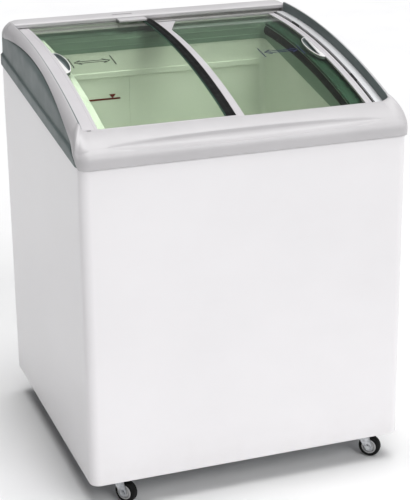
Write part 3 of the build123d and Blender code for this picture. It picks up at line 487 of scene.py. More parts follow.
def rubber(name, dark, light, grain=600.0):
    """Dull rubber with a fine grain."""
    f = Finish(name, ior=1.25)
    f.colour(f.ramp(f.noise(30.0, 6.0), dark, light))
    f.roughness(f.noise(80.0, 4.0), 0.55, 0.80)
    f.bump(f.noise(grain, 4.0), 0.00008, 0.5)
    return f.material


def tinted_glass():
    """Green safety glass, clear to lamps, with faint wiped streaks in its gloss."""
    f = Finish("tinted_glass", ior=1.3)
    f.colour(f.ramp(f.noise(2.5, 2.0), (223, 230, 220), (228, 234, 225)))
    f.shader.inputs["Transmission Weight"].default_value = 1.0
    f.link(f.levels(f.noise(9.0, 6.0, (5, 1, 1)), 0.5, 0.85, 0.0, 0.05), f.shader.inputs["Roughness"])
    clear = f.add("BsdfTransparent", Color=linear((224, 232, 220)))
    path = f.add("LightPath")
    mix = f.add("MixShader")
    f.link(path.outputs["Is Shadow Ray"], mix.inputs[0])
    f.link(f.shader.outputs[0], mix.inputs[1])
    f.link(clear.outputs[0], mix.inputs[2])
    f.link(mix.outputs[0], f.output.inputs["Surface"])
    return f.material


def rigid_foam():
    """Yellowish cellular foam."""
    f = Finish("rigid_foam")
    f.colour(f.ramp(f.noise(40.0, 8.0), (206, 186, 128), (230, 214, 160)))
    f.roughness(f.noise(90.0), 0.8, 0.95)
    f.bump(f.cells(700.0), 0.0004, 0.8)
    return f.material


def floor_finish():
    """Plain pale studio floor."""
    f = Finish("studio_floor")
    f.colour(f.ramp(f.noise(1.5, 3.0), (236, 236, 237), (240, 240, 240)))
    f.roughness(f.noise(6.0, 4.0), 0.7, 0.85)
    f.bump(f.noise(80.0, 3.0), 0.0001, 0.2)
    return f.material


FINISHES = {
    "shell_white": painted_steel(),
    "galvanised": sheet_metal("galvanised", (150, 153, 156), (196, 199, 202), 0.35, 0.55, brushed=60.0),
    "foam": rigid_foam(),
    "liner_metal": liner_sheet(),
    "copper": sheet_metal("copper", (176, 104, 72), (208, 132, 96), 0.25, 0.45),
    "compressor_black": plastic(
        "compressor_enamel", (18, 18, 19), (27, 27, 28), 0.25, 0.4, coat=0.3, worn=(60, 56, 52)
    ),
    "rubber_black": rubber("rubber_black", (14, 15, 15), (27, 28, 28)),
    "black_plastic": plastic("black_plastic", (22, 22, 24), (32, 32, 34), 0.40, 0.55, worn=(56, 56, 58)),
    "light_grey_plastic": plastic(
        "light_grey_moulding", (191, 189, 191), (197, 195, 197), 0.36, 0.46, worn=(206, 204, 203)
    ),
    "grey_green_plastic": plastic(
        "grey_green_moulding", (101, 112, 112), (110, 121, 121), 0.42, 0.55,
        grain=900.0, worn=(122, 133, 131),
    ),
    "throat_plastic": plastic(
        "throat_moulding", (124, 145, 133), (132, 154, 141), 0.45, 0.60, worn=(140, 160, 149)
    ),
    "white_plastic": plastic("white_plastic", (232, 231, 230), (240, 239, 238), 0.25, 0.38),
    "lid_frame_plastic": plastic(
        "lid_frame_moulding", (198, 195, 198), (206, 203, 206), 0.34, 0.44, worn=(192, 190, 190)
    ),
    "tinted_glass": tinted_glass(),
    "ledge_aluminium": sheet_metal(
        "anodised", (206, 207, 209), (226, 227, 229), 0.45, 0.6, (40, 1, 1),
        brushed=30.0, metallic=0.35,
    ),
    "zinc_steel": sheet_metal("zinc_plate", (168, 170, 174), (212, 214, 217), 0.25, 0.42, brushed=120.0),
    "wheel_grey": plastic("wheel_grey", (186, 186, 187), (198, 198, 199), 0.35, 0.5, worn=(160, 158, 154)),
    "tyre_black": rubber("tyre_rubber", (12, 12, 12), (24, 24, 24), 900.0),
}
INK_BLACK = plastic("black_ink", (16, 17, 17), (26, 27, 27), 0.45, 0.6)
INK_BLUE = plastic("blue_ink", (22, 26, 66), (32, 36, 82), 0.45, 0.6)
INK_RED = plastic("red_ink", (96, 22, 20), (120, 32, 26), 0.45, 0.6)
# Painted shade: the throat's plastic darkened for the shelf under the rear rail.
PAINTED_SHADE_THROAT = plastic("dark_throat_moulding", (78, 98, 88), (86, 107, 96), 0.5, 0.65)
# Painted shade: a dark green for places that are only in shade, the right shelf beside the throat and the strip
# beside the left lid's gasket.
PAINTED_SHADE_GREEN = plastic("dark_green_lip", (14, 52, 38), (20, 64, 46), 0.5, 0.65)


# ---- CAD nodes
# Tracks get white plastic instead of their slot's grey: painted light, so the shaded channel under the rear rail
# reads lighter.
LIGHTENED_TRACKS = {"front_track", "rear_track"}
HIDDEN_INSIDE = {"foam_insulation", "evaporator_coil", "condenser_coil", "side_seals", "castor_bolts"}


def finish_cad_nodes():
    """The CAD nodes get the finish of their slot, except the tracks, whose white plastic is painted light in their
    shaded channel; and small rounded edges unless they are hidden.
    """
    for row in frame["record"]["subparts"]:
        node = row["node"]
        obj = frame["nodes"][node]
        obj.data.materials.clear()
        obj.data.materials.append(FINISHES["white_plastic" if node in LIGHTENED_TRACKS else row["material_slot"]])
        if node in HIDDEN_INSIDE:
            continue
        weld = obj.modifiers.new("weld", "WELD")
        weld.merge_threshold = 0.00001
        add_bevel(obj, 0.0004, 30.0)


finish_cad_nodes()


# ---- cabinet shell
HEM = 0.014  # width of the flange folded in under the cabinet
BEND = 0.0025  # outer radius of that fold
SHELL_LAP = 0.010  # how far the wrapper rises behind the top frame
NOTCHES = ((0.7213, 0.7603, 0.005), (0.496, 0.504, 0.0025))  # rear left edge: lowest, highest, depth
LEVELS = (0.110, 0.200, 0.300, 0.400, 0.497, 0.503, 0.600, 0.721, 0.7215, 0.760, 0.7605)


def shell_path():
    """The wrapper from above, from rear left round the front, as (x, y, outward x, outward y)."""
    path = [(-HALF_X, y, -1, 0) for y in spread(HALF_Y, -HALF_Y + CORNER_R, 24)]
    centre_x, centre_y = -HALF_X + CORNER_R, -HALF_Y + CORNER_R
    for turn in spread(0, pi / 2, 14)[1:]:
        out_x, out_y = -cos(turn), -sin(turn)
        path.append((centre_x + CORNER_R * out_x, centre_y + CORNER_R * out_y, out_x, out_y))
    half = path[:]
    path += [(x, -HALF_Y, 0, -1) for x in spread(-HALF_X + CORNER_R, HALF_X - CORNER_R, 24)[1:-1]]
    return path + [(-x, y, -out_x, out_y) for x, y, out_x, out_y in reversed(half)]


def shell_outline(top):
    """Section of the sheet as (inset, z), up its outer face and down its inner one."""
    turns = spread(0, pi / 2, 5)
    low = BASE_Z - SHEET
    outer, inner = [(HEM, low), (BEND, low)], [(HEM, low + SHEET), (BEND, low + SHEET)]
    for path, radius in ((outer, BEND), (inner, BEND - SHEET)):
        path += [(BEND - radius * sin(t), low + BEND - radius * cos(t)) for t in turns[1:]]
    outline = outer + [(0.0, z) for z in LEVELS] + [(0.0, top), (SHEET, top)]
    return outline + [(SHEET, z) for z in reversed(LEVELS)] + inner[::-1]


def make_shell():
    """Folded steel wrapper with a rolled lower hem and small notches in its rear left edge."""
    sections = []
    for i, (x, y, out_x, out_y) in enumerate(shell_path()):
        section = []
        for inset, z in shell_outline(collar_z(y) + SHELL_LAP):
            back = sum(depth for low, high, depth in NOTCHES if i == 0 and low < z < high)
            section.append((x - out_x * inset, y - out_y * inset - back, z))
        sections.append(section)
    shell = piece("cabinet_wrapper", loft(sections), "shell_white", crease=40.0)
    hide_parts("outer_shell")


make_shell()


# ---- top frame moulding
PROFILE_LOWER = 12  # points of a section below, in and above the scoop
PROFILE_SCOOP = 16
PROFILE_UPPER = 20
PROFILE_COUNT = PROFILE_LOWER + PROFILE_SCOOP + PROFILE_UPPER
SCOOP_R = 0.0326  # the scoop's section, and its centre at x = 0
SCOOP_Y = -0.3433
SCOOP_Z = 0.8262
SCOOP_SWEEP = 7.5  # long radius with which it runs out towards both ends
SCOOP_OUT = (-0.663, 0.749)  # and the direction in which it does so, as (y, z)
SCOOP_POCKET = 0.0028  # how far it bulges inwards below its upper edge
SCOOP_FULL = 0.030  # opening from which on the bulge is full


def beam_profile():
    """Outer face of the front beam as (y, z), from its lower edge up to its back edge."""
    path = [(-0.3385, BEAM_LOW), (-0.3398, 0.776)]
    path += arc_points((NOSE_Y, 0.784), (-0.339, 0.7925), (-0.333, 0.800), 8)
    top = arc_points((-0.333, 0.800), (-0.305, 0.820), (BEAM_BACK, BEAM_TOP), 160)[1:]
    path += [p for p in top if p[0] < BEAM_LIP]
    return resample(path, 400)


BEAM_PATH = beam_profile()


def beam_section(x):
    """The beam's face at x, with the scoop cut into it."""
    rise = x * x / (2 * SCOOP_SWEEP)
    centre = (SCOOP_Y + SCOOP_OUT[0] * rise, SCOOP_Z + SCOOP_OUT[1] * rise)
    gaps = [dist(p, centre) - SCOOP_R for p in BEAM_PATH]
    inside = [i for i, gap in enumerate(gaps) if gap < 0]
    if len(inside) < 6:
        nearest = gaps.index(min(gaps))
        inside = [nearest - 3, nearest + 3]
    low, high = inside[0], inside[-1]
    lower = resample(BEAM_PATH[: low + 1], PROFILE_LOWER - 1)
    upper = resample(BEAM_PATH[high:], PROFILE_UPPER)
    start, end = BEAM_PATH[low], BEAM_PATH[high]
    first, last = (atan2(p[1] - centre[1], p[0] - centre[0]) for p in (start, end))
    scoop = []
    width = min(dist(start, end) / SCOOP_FULL, 1.0)
    for i in range(1, PROFILE_SCOOP + 1):
        t = i / (PROFILE_SCOOP + 1)
        turn = first + (last - first) * t
        radius = dist(start, centre) * (1 - t) + dist(end, centre) * t
        radius += SCOOP_POCKET * width * sin(pi * t**1.6)
        scoop.append((centre[0] + radius * cos(turn), centre[1] + radius * sin(turn)))
    section = lower + scoop + upper
    return soften(section, PROFILE_LOWER + PROFILE_SCOOP - 3, PROFILE_LOWER + PROFILE_SCOOP + 4)


def soften(path, first, last):
    """Path with the points between first and last moved towards the mean of their neighbours."""
    result = path[:]
    for i in range(first, last):
        result[i] = tuple((a + 2 * b + c) / 4 for a, b, c in zip(path[i - 1], path[i], path[i + 1]))
    return result


def rim_section(y):
    """The side rim's outer face at y as (x, z), from the split line up to its inner edge."""
    low = split_z(y) - 0.0004
    middle = lid_z(y, R_FRAME) - SHOULDER_DROP
    top = acos((RIM_IN - SHOULDER_X) / SHOULDER_R)
    start = asin(min(max((low - middle) / SHOULDER_R, 0.0), 0.95))
    path = []
    if low < middle:
        path += [(SHOULDER_X + SHOULDER_R, z) for z in spread(low, middle, 6)[:-1]]
    arc = spread(start, top, 40)
    path += [(SHOULDER_X + SHOULDER_R * cos(a), middle + SHOULDER_R * sin(a)) for a in arc]
    return resample(path, PROFILE_COUNT)


def front_sections():
    """Sections of the moulding from the middle of the beam to the end of its straight front."""
    sections = []
    for x in spread(0, BEAM_END, 60):
        face = [(x, y, z) for y, z in beam_section(x)]
        _, y, z = face[-1]
        sections.append(face + [(x, y + 0.0006, z - 0.0008), (x, y + 0.0006, z - 0.0035)])
    return sections


def corner_outline(side_x):
    """Outer line of the corner from above, from the beam's straight front to the rim at side_x."""
    outline = [(x, NOSE_Y) for x in spread(BEAM_END, NOSE_X - NOSE_R, 2)[1:]]
    turns = spread(0, pi / 2, 16)[1:]
    middle_x, middle_y = NOSE_X - NOSE_R, NOSE_Y + NOSE_R
    outline += [(middle_x + NOSE_R * sin(t), middle_y - NOSE_R * cos(t)) for t in turns]
    for y in spread(middle_y, RIM_FRONT, 12)[1:]:
        lean = smooth((y - middle_y) / (RIM_FRONT - middle_y))
        outline.append((NOSE_X + (side_x - NOSE_X) * lean, y))
    return outline


def shares(face, inner, outer):
    """A face's points as shares of the way from inner to outer and from its foot to its top."""
    low, high = face[0][1], face[-1][1]
    return [((place - inner) / (outer - inner), (z - low) / (high - low)) for place, z in face]


def corner_sections():
    """Sections round the corner, which turn the beam's face into the rim's."""
    front, side = beam_section(BEAM_END), rim_section(RIM_FRONT)
    lip_y, lip_z = front[-1]
    side_x, side_high = side[0][0], side[-1][1]
    shapes = list(zip(shares(front, lip_y, NOSE_Y), shares(side, RIM_IN, side_x)))
    outline = corner_outline(side_x)
    sections = []
    for i, (outer_x, outer_y) in enumerate(outline):
        t = (i + 1) / len(outline)
        inner_x = BEAM_END + (RIM_IN - BEAM_END) * smooth(t / 0.45)
        inner_y = lip_y + (RIM_FRONT - lip_y) * smooth((t - 0.25) / 0.75)
        beam = 1 - smooth(t * 1.3)
        rim = 1 - beam
        low = split_z(outer_y) if outer_y > SPLIT_FRONT else BEAM_LOW
        high = lip_z * beam + side_high * rim
        section = []
        for (beam_out, beam_up), (rim_out, rim_up) in shapes:
            out, up = beam_out * beam + rim_out * rim, beam_up * beam + rim_up * rim
            x, y = inner_x + (outer_x - inner_x) * out, inner_y + (outer_y - inner_y) * out
            section.append((x, y, low + (high - low) * up))
        x, y, z = section[-1]
        sections.append(section + [(x, y, z - 0.0008), (x, y, z - 0.005 - 0.015 * rim)])
    return sections


def side_sections():
    """Sections along the rim, from the corner to the rear rail."""
    sections = []
    for y in spread(RIM_FRONT, RIM_BACK, 90)[1:]:
        section = [(x, y, z) for x, z in rim_section(y)]
        x, _, z = section[-1]
        sections.append(section + [(x - 0.0002, y, z - 0.0008), (x - 0.0002, y, z - 0.020)])
    return sections


def make_top_frame():
    """The front beam and both side rims, one moulding."""
    half = front_sections() + corner_sections() + side_sections()
    mirrored = [[(-x, y, z) for x, y, z in section] for section in reversed(half[1:])]
    obj = piece("top_frame_moulding", sheet(mirrored + half), "light_grey_plastic", crease=26.0)
    thicken(obj, 0.0022, (0, 0, 1))
    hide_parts("front_beam", "side_rim_left", "side_rim_right")


make_top_frame()


def make_screw_plug(plug_x=-0.076, plug_y=-0.2838):
    """Dark plug in the screw hole near the beam's back edge."""
    outline = [(0.0003, -0.002), (0.0023, -0.002), (0.0023, 0.0003), (0.0017, 0.0007), (0.0003, 0.0008)]
    y, z = min(BEAM_PATH, key=lambda p: abs(p[0] - plug_y))
    piece("beam_screw_plug", lathe(outline, (plug_x, y, z), (0.0, -0.26, 1.0), 32), "black_plastic")


def make_beam_shadow_line():
    """Thin black strip under the beam's lower edge: painted shade, standing in for the shadow gap between the beam
    and the steel.
    """
    front, back, end = -0.3384, -0.3364, 0.338
    low, high = BEAM_LOW - 0.0010, BEAM_LOW + 0.0012
    outline = rounded([(front, low), (back, low), (back, high), (front, high)], 0.0003, 2)
    gasket = loft([[(x, y, z) for y, z in outline] for x in spread(-end, end, 8)])
    piece("beam_gasket", gasket, "rubber_black")


make_screw_plug()
make_beam_shadow_line()


# ---- side covers
def cover_section(y):
    """Outer face of the side cover at y as (x, z), from its lower edge up to the split line."""
    low = collar_z(y)
    top = max(split_z(y) + 0.0002, low + 0.004)
    flange_top = min(low + FLANGE, low + 0.62 * (top - low))
    face = HALF_X - SHEET
    path = [(HALF_X + 0.0002, low), (FLANGE_X - 0.0005, low), (FLANGE_X, low + 0.0006)]
    path += [(FLANGE_X, z) for z in spread(low + 0.002, flange_top - 0.0028, 3)]
    path += [(FLANGE_X - 0.0005, flange_top - 0.0012), (FLANGE_X - 0.0015, flange_top - 0.0002)]
    path += [(FLANGE_X - 0.0025, flange_top), (FLANGE_X - 0.0039, flange_top + 0.0010)]
    for t in spread(0, 1, 16)[1:]:
        z = flange_top + 0.001 + (top - flange_top - 0.001) * t
        path.append((min(face, shoulder_x(y, z) + 0.0004 + 0.0009 * (1 - t)), z))
    return path


def make_cover(side, name):
    """Grey-green cover: a skin with a flange strip along its lower edge, and its front end tucked in."""
    inner = HALF_X - 0.006
    sections = []
    for y in spread(COVER_FRONT, COVER_BACK, 110):
        tuck = 0.25 + 0.75 * smooth((y - COVER_FRONT) / 0.020)
        sections.append([(side * (inner + (x - inner) * tuck), y, z) for x, z in cover_section(y)])
    skin = piece(f"{name}_skin", sheet(sections), "grey_green_plastic", crease=28.0)
    thicken(skin, 0.0025, (side, 0, 0))
    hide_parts(name)


def make_cheek(side, name):
    """The cover's upright inner wall beside the lids, with a rounded top and front end."""
    half, foot = 0.0014, -0.020
    sections = []
    for y in spread(CHEEK_FRONT, RIM_BACK, 110):
        end = min(1.0, (y - CHEEK_FRONT) / 0.018)
        middle = CHEEK_UP * sqrt(1 - (1 - end) ** 2) - half
        outline = [(-half, foot), (half, foot)]
        outline += [(half * cos(a), middle + half * sin(a)) for a in spread(0, pi, 6)]
        sections.append([(side * (CHEEK_X + half + x), y, lid_z(y, R_FRAME + h)) for x, h in outline])
    piece(f"{name}_inner_wall", loft(sections), "grey_green_plastic", crease=40.0)


for cover_side, cover_name in ((-1, "side_cover_left"), (1, "side_cover_right")):
    make_cover(cover_side, cover_name)
    make_cheek(cover_side, cover_name)


# ---- rear rail
SLOT_X = (-0.096, -0.046)  # slot in the rail's top
SLOT_Y = (0.320, 0.3238)
RAIL_CREASE = 36.0


def rail_ends():
    """The rail's sections as (x, height of the underside of its lip), closed beside the track's channels."""
    edge, closed = SHOULDER_X + SHOULDER_R - 0.0003, 0.905
    ends = [-edge + 0.0376 * (1 - cos(a)) for a in spread(0, pi / 2, 12)]
    half = [(x, closed) for x in ends if x < -CHEEK_X]
    half += [(-CHEEK_X, closed), (-CHEEK_X + 0.0002, RAIL_UNDER)]
    half += [(x, RAIL_UNDER) for x in spread(-CHEEK_X, 0.0, 30)[1:]]
    return half + [(-x, under) for x, under in reversed(half[:-1])]


def rail_outline(under):
    """Section of the rail as (y, z), from the underside of its lip over its top and down its back."""
    return rounded(
        [
            (RIM_BACK, under), (RIM_BACK, 0.9345), (0.3125, 0.9375), (0.333, RAIL_TOP), (RAIL_BACK, RAIL_TOP),
            (RAIL_BACK, RAIL_LOW), (0.3368, RAIL_LOW), (0.3368, under),
        ],
        [0, 0.0012, 0.0015, 0.003, 0.0035, 0.001, 0, 0],
    )


def make_rear_rail():
    """Rail with ends that follow the shoulder, and a slot in its top."""
    shoulder_z = 0.9045
    sections = []
    for x, under in rail_ends():
        over = max(abs(x) - SHOULDER_X, 0.0)
        cap = shoulder_z + sqrt(max(SHOULDER_R**2 - over**2, 0.0))
        sections.append([(x, y, min(z, cap)) for y, z in rail_outline(under)])
    rail = piece("rear_rail_moulding", loft(sections), "light_grey_plastic", crease=RAIL_CREASE)
    (x0, x1), (y0, y1) = SLOT_X, SLOT_Y
    slot = rounded([(x0, y0), (x1, y0), (x1, y1), (x0, y1)], 0.0018)
    cut(rail, loft([[(x, y, z) for x, y in slot] for z in (0.935, 0.95)]), RAIL_CREASE)
    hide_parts("rear_rail")


def make_slot_screw():
    """Screw head seen at the bottom of the slot."""
    centre = (sum(SLOT_X) / 2, sum(SLOT_Y) / 2, 0.9352)
    outline = [(0.0004, 0.0), (0.0017, 0.0), (0.0017, 0.0009), (0.0012, 0.0014), (0.0004, 0.0015)]
    piece("slot_screw", lathe(outline, centre, (0, 0, 1)), "zinc_steel")


make_rear_rail()
make_slot_screw()


# ---- lids
FRAME_LOW = -0.0065  # the lids' frames, under and over their curve
FRAME_HIGH = 0.0010
CUP_EDGE = LID_EDGE - LID_FRAME
CUP_LENGTH = 0.118
CUP_WIDTH = 0.020
LEFT_CUP = (-CUP_EDGE, 0.036, 1)  # edge of the frame, middle of the cup, and the way in
RIGHT_CUP = (CUP_EDGE, 0.024, -1)
PANE_CREASE = 8.0  # keeps the wide faces flat, for a clear view through them
LAP = 0.0200  # lip of the left frame over the ledge
GUSSET_FRONT = 0.225


def rounded_bar(x0, x1, low, high, radius=0.0012):
    return rounded([(x0, low), (x1, low), (x1, high), (x0, high)], radius)


def on_curve(outline, r, h):
    """An outline seen from above, laid h over the lid curve."""
    return [(x, y, lid_z(y, r + h)) for x, y in outline]


def cup_outline(edge_x, y_mid, side, inset, count=40):
    """Half-oval outline of a finger cup, moved inwards by inset, which may depend on the place along it."""
    points = []
    for turn in spread(0, pi, count):
        d = inset(turn) if callable(inset) else inset
        bulge = sin(turn) ** 0.9 if 0 < turn < pi else 0.0
        x = edge_x + side * (max(d, 0.0) + (CUP_WIDTH - d - max(d, 0.0)) * bulge)
        points.append((x, y_mid - (CUP_LENGTH / 2 - d) * cos(turn)))
    return points


def make_cup(name, cup, r, body, node):
    """Finger cup with a white lip that widens to a crescent at its front end."""
    def crescent(turn):
        return 0.0012 + 0.0075 * exp(-((turn / 0.42) ** 2))

    bowl = (
        (0.0003, -0.0088), (0.0003, -0.0002), (0.0010, 0.0004), (0.0016, -0.0004),
        (0.0024, -0.0066), (0.0036, -0.0080), (0.0060, -0.0085),
    )
    rings = [on_curve(cup_outline(*cup, inset), r, h) for inset, h in bowl]
    obj = piece(name, loft(rings), "grey_green_plastic", body, crease=45.0)
    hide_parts(node)
    outside = ((-0.0012, 0.0001), (-0.0008, 0.0010), (0.0, 0.0014))
    rings = [on_curve(cup_outline(*cup, inset), r, h) for inset, h in outside]
    for extra, h in ((-0.0004, 0.0014), (0.0, 0.0009), (0.0001, -0.0012)):
        inner = cup_outline(*cup, lambda turn, extra=extra: crescent(turn) + extra)
        rings.append(on_curve(inner, r, h))
    rings.append(on_curve(cup_outline(*cup, -0.0006), r, -0.0012))
    piece(f"{name}_lip", loft(rings, ring=True), "white_plastic", body, crease=50.0)


def make_glass(name, x0, x1, r, body, cup):
    """Curved pane with ground edges and an opening for its finger cup."""
    pane = strip(rounded_bar(x0, x1, -GLASS, 0.0, 0.0007), r, PANE_FRONT, PANE_BACK, 96)
    obj = piece(name, pane, "tinted_glass", body, crease=PANE_CREASE)
    opening = cup_outline(*cup, 0.0002)
    cut(obj, loft([[(x, y, z) for x, y in opening] for z in (0.80, 0.96)]), PANE_CREASE)
    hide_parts(name.replace("_pane", "_glass"))


def frame_bar(x0, x1, lap=0.0):
    """Section of a lid's side frame: rounded, with a groove along its top and maybe a lip at its left."""
    low, high, middle = FRAME_LOW, FRAME_HIGH, (x0 + x1) / 2
    outline = [
        (x0, low), (x1, low), (x1, high), (middle + 0.0016, high), (middle + 0.0010, high - 0.0005),
        (middle - 0.0010, high - 0.0005), (middle - 0.0016, high), (x0 - lap, high),
    ]
    radii = [0.001, 0.001, 0.0016, 0.0003, 0.0003, 0.0003, 0.0003, 0.0010]
    if lap > 0:
        outline += [(x0 - lap, high - 0.0022), (x0, high - 0.0022)]
        radii += [0.0006, 0.0]
    return rounded(outline, radii, 3)


def make_side_frames():
    """Each lid's outer side frame; the left one has a lip over the ledge."""
    for side, x0, x1, lap, r, front in (
        ("left", -LID_EDGE, -CUP_EDGE, LAP, R_HIGH, LEFT_FRONT),
        ("right", CUP_EDGE, LID_EDGE, 0.0, R_LOW, RIGHT_FRONT),
    ):
        bar = strip(frame_bar(x0, x1, lap), r, front, ARC_Y)
        obj = piece(f"{side}_lid_side_frame", bar, "lid_frame_plastic", f"{side}_lid", bevel=0.0005)
        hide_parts(f"{side}_lid_frame")


def make_centre_frame():
    """The right lid's centre frame with the gusset at its back."""
    foot = BAR_RIGHT - 0.0015
    sections = []
    for y in spread(0.218, ARC_Y, 40):
        reach = BAR_RIGHT + 0.038 * max((y - GUSSET_FRONT) / (ARC_Y - GUSSET_FRONT), 0.0) ** 1.08
        outline = [(foot, -0.0002), (reach, -0.0002), (reach, 0.0007)]
        outline += [(reach - 0.0004, 0.0011), (foot, 0.0011)]
        sections.append([(x, y, lid_z(y, R_LOW + h)) for x, h in outline])
    centre = join(strip(frame_bar(BAR_LEFT, BAR_RIGHT), R_LOW, RIGHT_FRONT, ARC_Y), loft(sections))
    obj = piece("right_lid_centre_bar", centre, "lid_frame_plastic", "right_lid", bevel=0.0004)
    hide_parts("right_lid_centre_frame")


def make_lid_gasket():
    """Soft black gasket along the left lid's right edge, with a ribbed top; the dark green strip beside it is
    painted shade.
    """
    outline = rounded(
        [
            (-0.024, -0.0062), (-0.002, -0.0062), (-0.002, 0.0010), (-0.007, 0.0010), (-0.009, 0.0002),
            (-0.013, 0.0002), (-0.015, 0.0012), (-0.022, 0.0012), (-0.024, 0.0004),
        ],
        0.0007, 3,
    )
    gasket = strip(outline, R_HIGH, LEFT_FRONT, ARC_Y)
    obj = piece("left_lid_gasket", gasket, "rubber_black", "left_lid", bevel=0.0004)
    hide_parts("left_lid_seal")
    # Painted shade: dark green strip on the glass beside the gasket.
    lip = strip(rounded_bar(-0.0275, -0.0235, 0.0001, 0.0009, 0.0004), R_HIGH, LEFT_FRONT, 0.310)
    piece("left_lid_gasket_lip", lip, "rubber_black", "left_lid", PAINTED_SHADE_GREEN)


make_glass("left_lid_pane", -0.312, -0.006, R_HIGH, "left_lid", LEFT_CUP)
make_glass("right_lid_pane", -0.007, 0.312, R_LOW, "right_lid", RIGHT_CUP)
make_cup("left_finger_cup", LEFT_CUP, R_HIGH, "left_lid", "left_lid_handle")
make_cup("right_finger_cup", RIGHT_CUP, R_LOW, "right_lid", "right_lid_handle")
make_side_frames()
make_centre_frame()
make_lid_gasket()


# ---- printed marks
def stroke(a, b, width):
    """Flat stroke between two points of the plane, as four corners."""
    a, b = Vector(a), Vector(b)
    along = (b - a).normalized()
    across = Vector((-along.y, along.x)) * width / 2
    return [a + across, b + across, b - across, a - across]


def make_slide_mark(name, x0, x1, y, r, finish, body):
    """Double arrow between two bars, printed on a lid's glass."""
    thick, low, high, half = 0.0026, 0.0001, 0.0004, 0.026
    parts = []
    for x in (x0, x1):
        bar = rounded_bar(x - thick / 2, x + thick / 2, low, high, 0.00005)
        parts.append(strip(bar, r, y - half, y + half, 12))
    tip, gap, reach, barb = 0.007, 0.0045, 0.016, 0.0115
    left, right = x0 + tip, x1 - tip
    strokes = [((left + tip, y + rise), (right - tip, y + rise)) for rise in (gap, -gap)]
    for end, way in ((left, reach), (right, -reach)):
        strokes += [((end, y), (end + way, y + rise)) for rise in (barb, -barb)]
    for a, b in strokes:
        corners = stroke(a, b, thick)
        parts.append(loft([on_curve(corners, r, h) for h in (low, high)]))
    piece(name, join(*parts), "rubber_black", body, finish)


def make_load_line():
    """Red fill line on the tank's back wall, with a small triangle over its end."""
    wall = TANK - 0.0002
    line = block((-TANK + 0.012, wall - 0.0003, 0.7435), (-0.094, wall, 0.7480))
    triangle = [(-0.1220, 0.7570), (-0.1050, 0.7570), (-0.1135, 0.7465)]
    mark = loft([[(x, y, z) for x, z in triangle] for y in (wall - 0.0003, wall)])
    piece("load_line", join(line, mark), "rubber_black", finish=INK_RED)


make_slide_mark("left_slide_mark", -0.277, -0.182, 0.026, R_HIGH, INK_BLACK, "left_lid")
make_slide_mark("right_slide_mark", 0.166, 0.262, 0.016, R_LOW, INK_BLUE, "right_lid")
make_load_line()


# ---- trim inside the top frame
def side_strip(side, outline, y0, y1, steps=72):
    """Strip beside the lids; its outline is the right one's."""
    return strip([(side * x, h) for x, h in outline], R_FRAME, y0, y1, steps)


def make_ledge(side, name):
    """Bright metal angle between the cover and the lid."""
    outline = rounded(
        [
            (0.3200, -0.034), (0.3215, -0.034), (0.3215, -0.0015),
            (CHEEK_X, -0.0015), (CHEEK_X, 0.0), (0.3206, 0.0),
        ],
        [0.0003, 0.0003, 0.0003, 0.0003, 0.0006, 0.0006], 2,
    )
    obj = piece(f"{name}_ledge", side_strip(side, outline, -0.2835, 0.308), "ledge_aluminium")
    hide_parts(f"side_ledge_{name}")


def make_guide_blocks(side, name):
    """Black guide blocks in the gap beside the lid."""
    outline = rounded_bar(0.3173, 0.3205, -0.009, -0.0004, 0.0006)
    for number, (y0, y1) in enumerate(((-0.163, -0.135), (0.164, 0.201))):
        guide = side_strip(side, outline, y0, y1, 12)
        piece(f"{name}_guide_block_{number}", guide, "black_plastic", bevel=0.0004)


def make_throat_shade_band(side, name):
    """Black band along the throat's side wall: painted shade and painted dark reflection of the wall's rounded top
    edge.
    """
    outline = [(0.2770, -0.048)]
    outline += [(0.2752 - 0.0035 * sin(a), -0.047 + 0.020 * a / pi) for a in spread(0, pi, 10)]
    outline += [(0.2770, -0.026)]
    piece(f"{name}_throat_shade_band", side_strip(side, outline, -0.258, 0.268), "rubber_black")


def make_shelf_lining(side, name):
    """Lining on the shelf beside the throat: on the right its dark green is painted shade, on the left it has the
    liner's pale finish.
    """
    outline = [
        (0.2764, SHELF_DEEP), (SHELF_X, SHELF_DEEP), (SHELF_X, -0.0192),
        (0.2758, -0.0192), (0.2752, -0.024), (0.2764, -0.024),
    ]
    # Painted shade: the right strip is dark green because that side is in shade.
    finish = PAINTED_SHADE_GREEN if side > 0 else FINISHES["liner_metal"]
    piece(f"{name}_shelf_lining", side_strip(side, outline, -0.262, 0.2755), "throat_plastic", finish=finish)


def make_rear_lining():
    """Lining behind the throat, turned up at the track; its dark green is painted shade under the rear rail."""
    outline = [(-SHELF_X, SHELF_DEEP), (SHELF_X, SHELF_DEEP), (SHELF_X, -0.0191), (-SHELF_X, -0.0191)]
    lining = strip(outline, R_FRAME, 0.2757, ARC_Y)
    low, high = lid_z(ARC_Y, R_FRAME + SHELF_DEEP), lid_z(ARC_Y, R_FRAME - 0.0125)
    riser = block((-SHELF_X, 0.3104, low), (SHELF_X, 0.3112, high))
    piece("rear_shelf_lining", join(lining, riser), "throat_plastic", finish=PAINTED_SHADE_THROAT)


def make_throat_beads():
    """Two beads along the throat's back wall."""
    outline = [(0.2762, -0.0012), (0.2750, -0.0008), (0.2746, 0.0), (0.2750, 0.0008), (0.2762, 0.0012)]
    for number, z in enumerate((0.872, 0.888)):
        bead = loft([[(x, y, z + h) for y, h in outline] for x in spread(-0.262, 0.262, 8)])
        piece(f"throat_bead_{number}", bead, "throat_plastic")


for trim_side, trim_name in ((-1, "left"), (1, "right")):
    for make_trim in (make_ledge, make_guide_blocks, make_throat_shade_band, make_shelf_lining):
        make_trim(trim_side, trim_name)
make_rear_lining()
make_throat_beads()


# ---- castors
def make_tyre(corner, centre, axis):
    outline = [
        (0.0166, -0.0088), (0.0225, -0.0090), (0.0250, -0.0060),
        (0.0250, 0.0060), (0.0225, 0.0090), (0.0166, 0.0088),
    ]
    tyre = rounded(outline, [0.0006, 0.0018, 0.0022, 0.0022, 0.0018, 0.0006])
    obj = piece(f"tyre_{corner}", lathe(tyre, centre, axis, 72), "tyre_black", f"castor_wheel_{corner}")
    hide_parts(f"castor_tyre_{corner}")


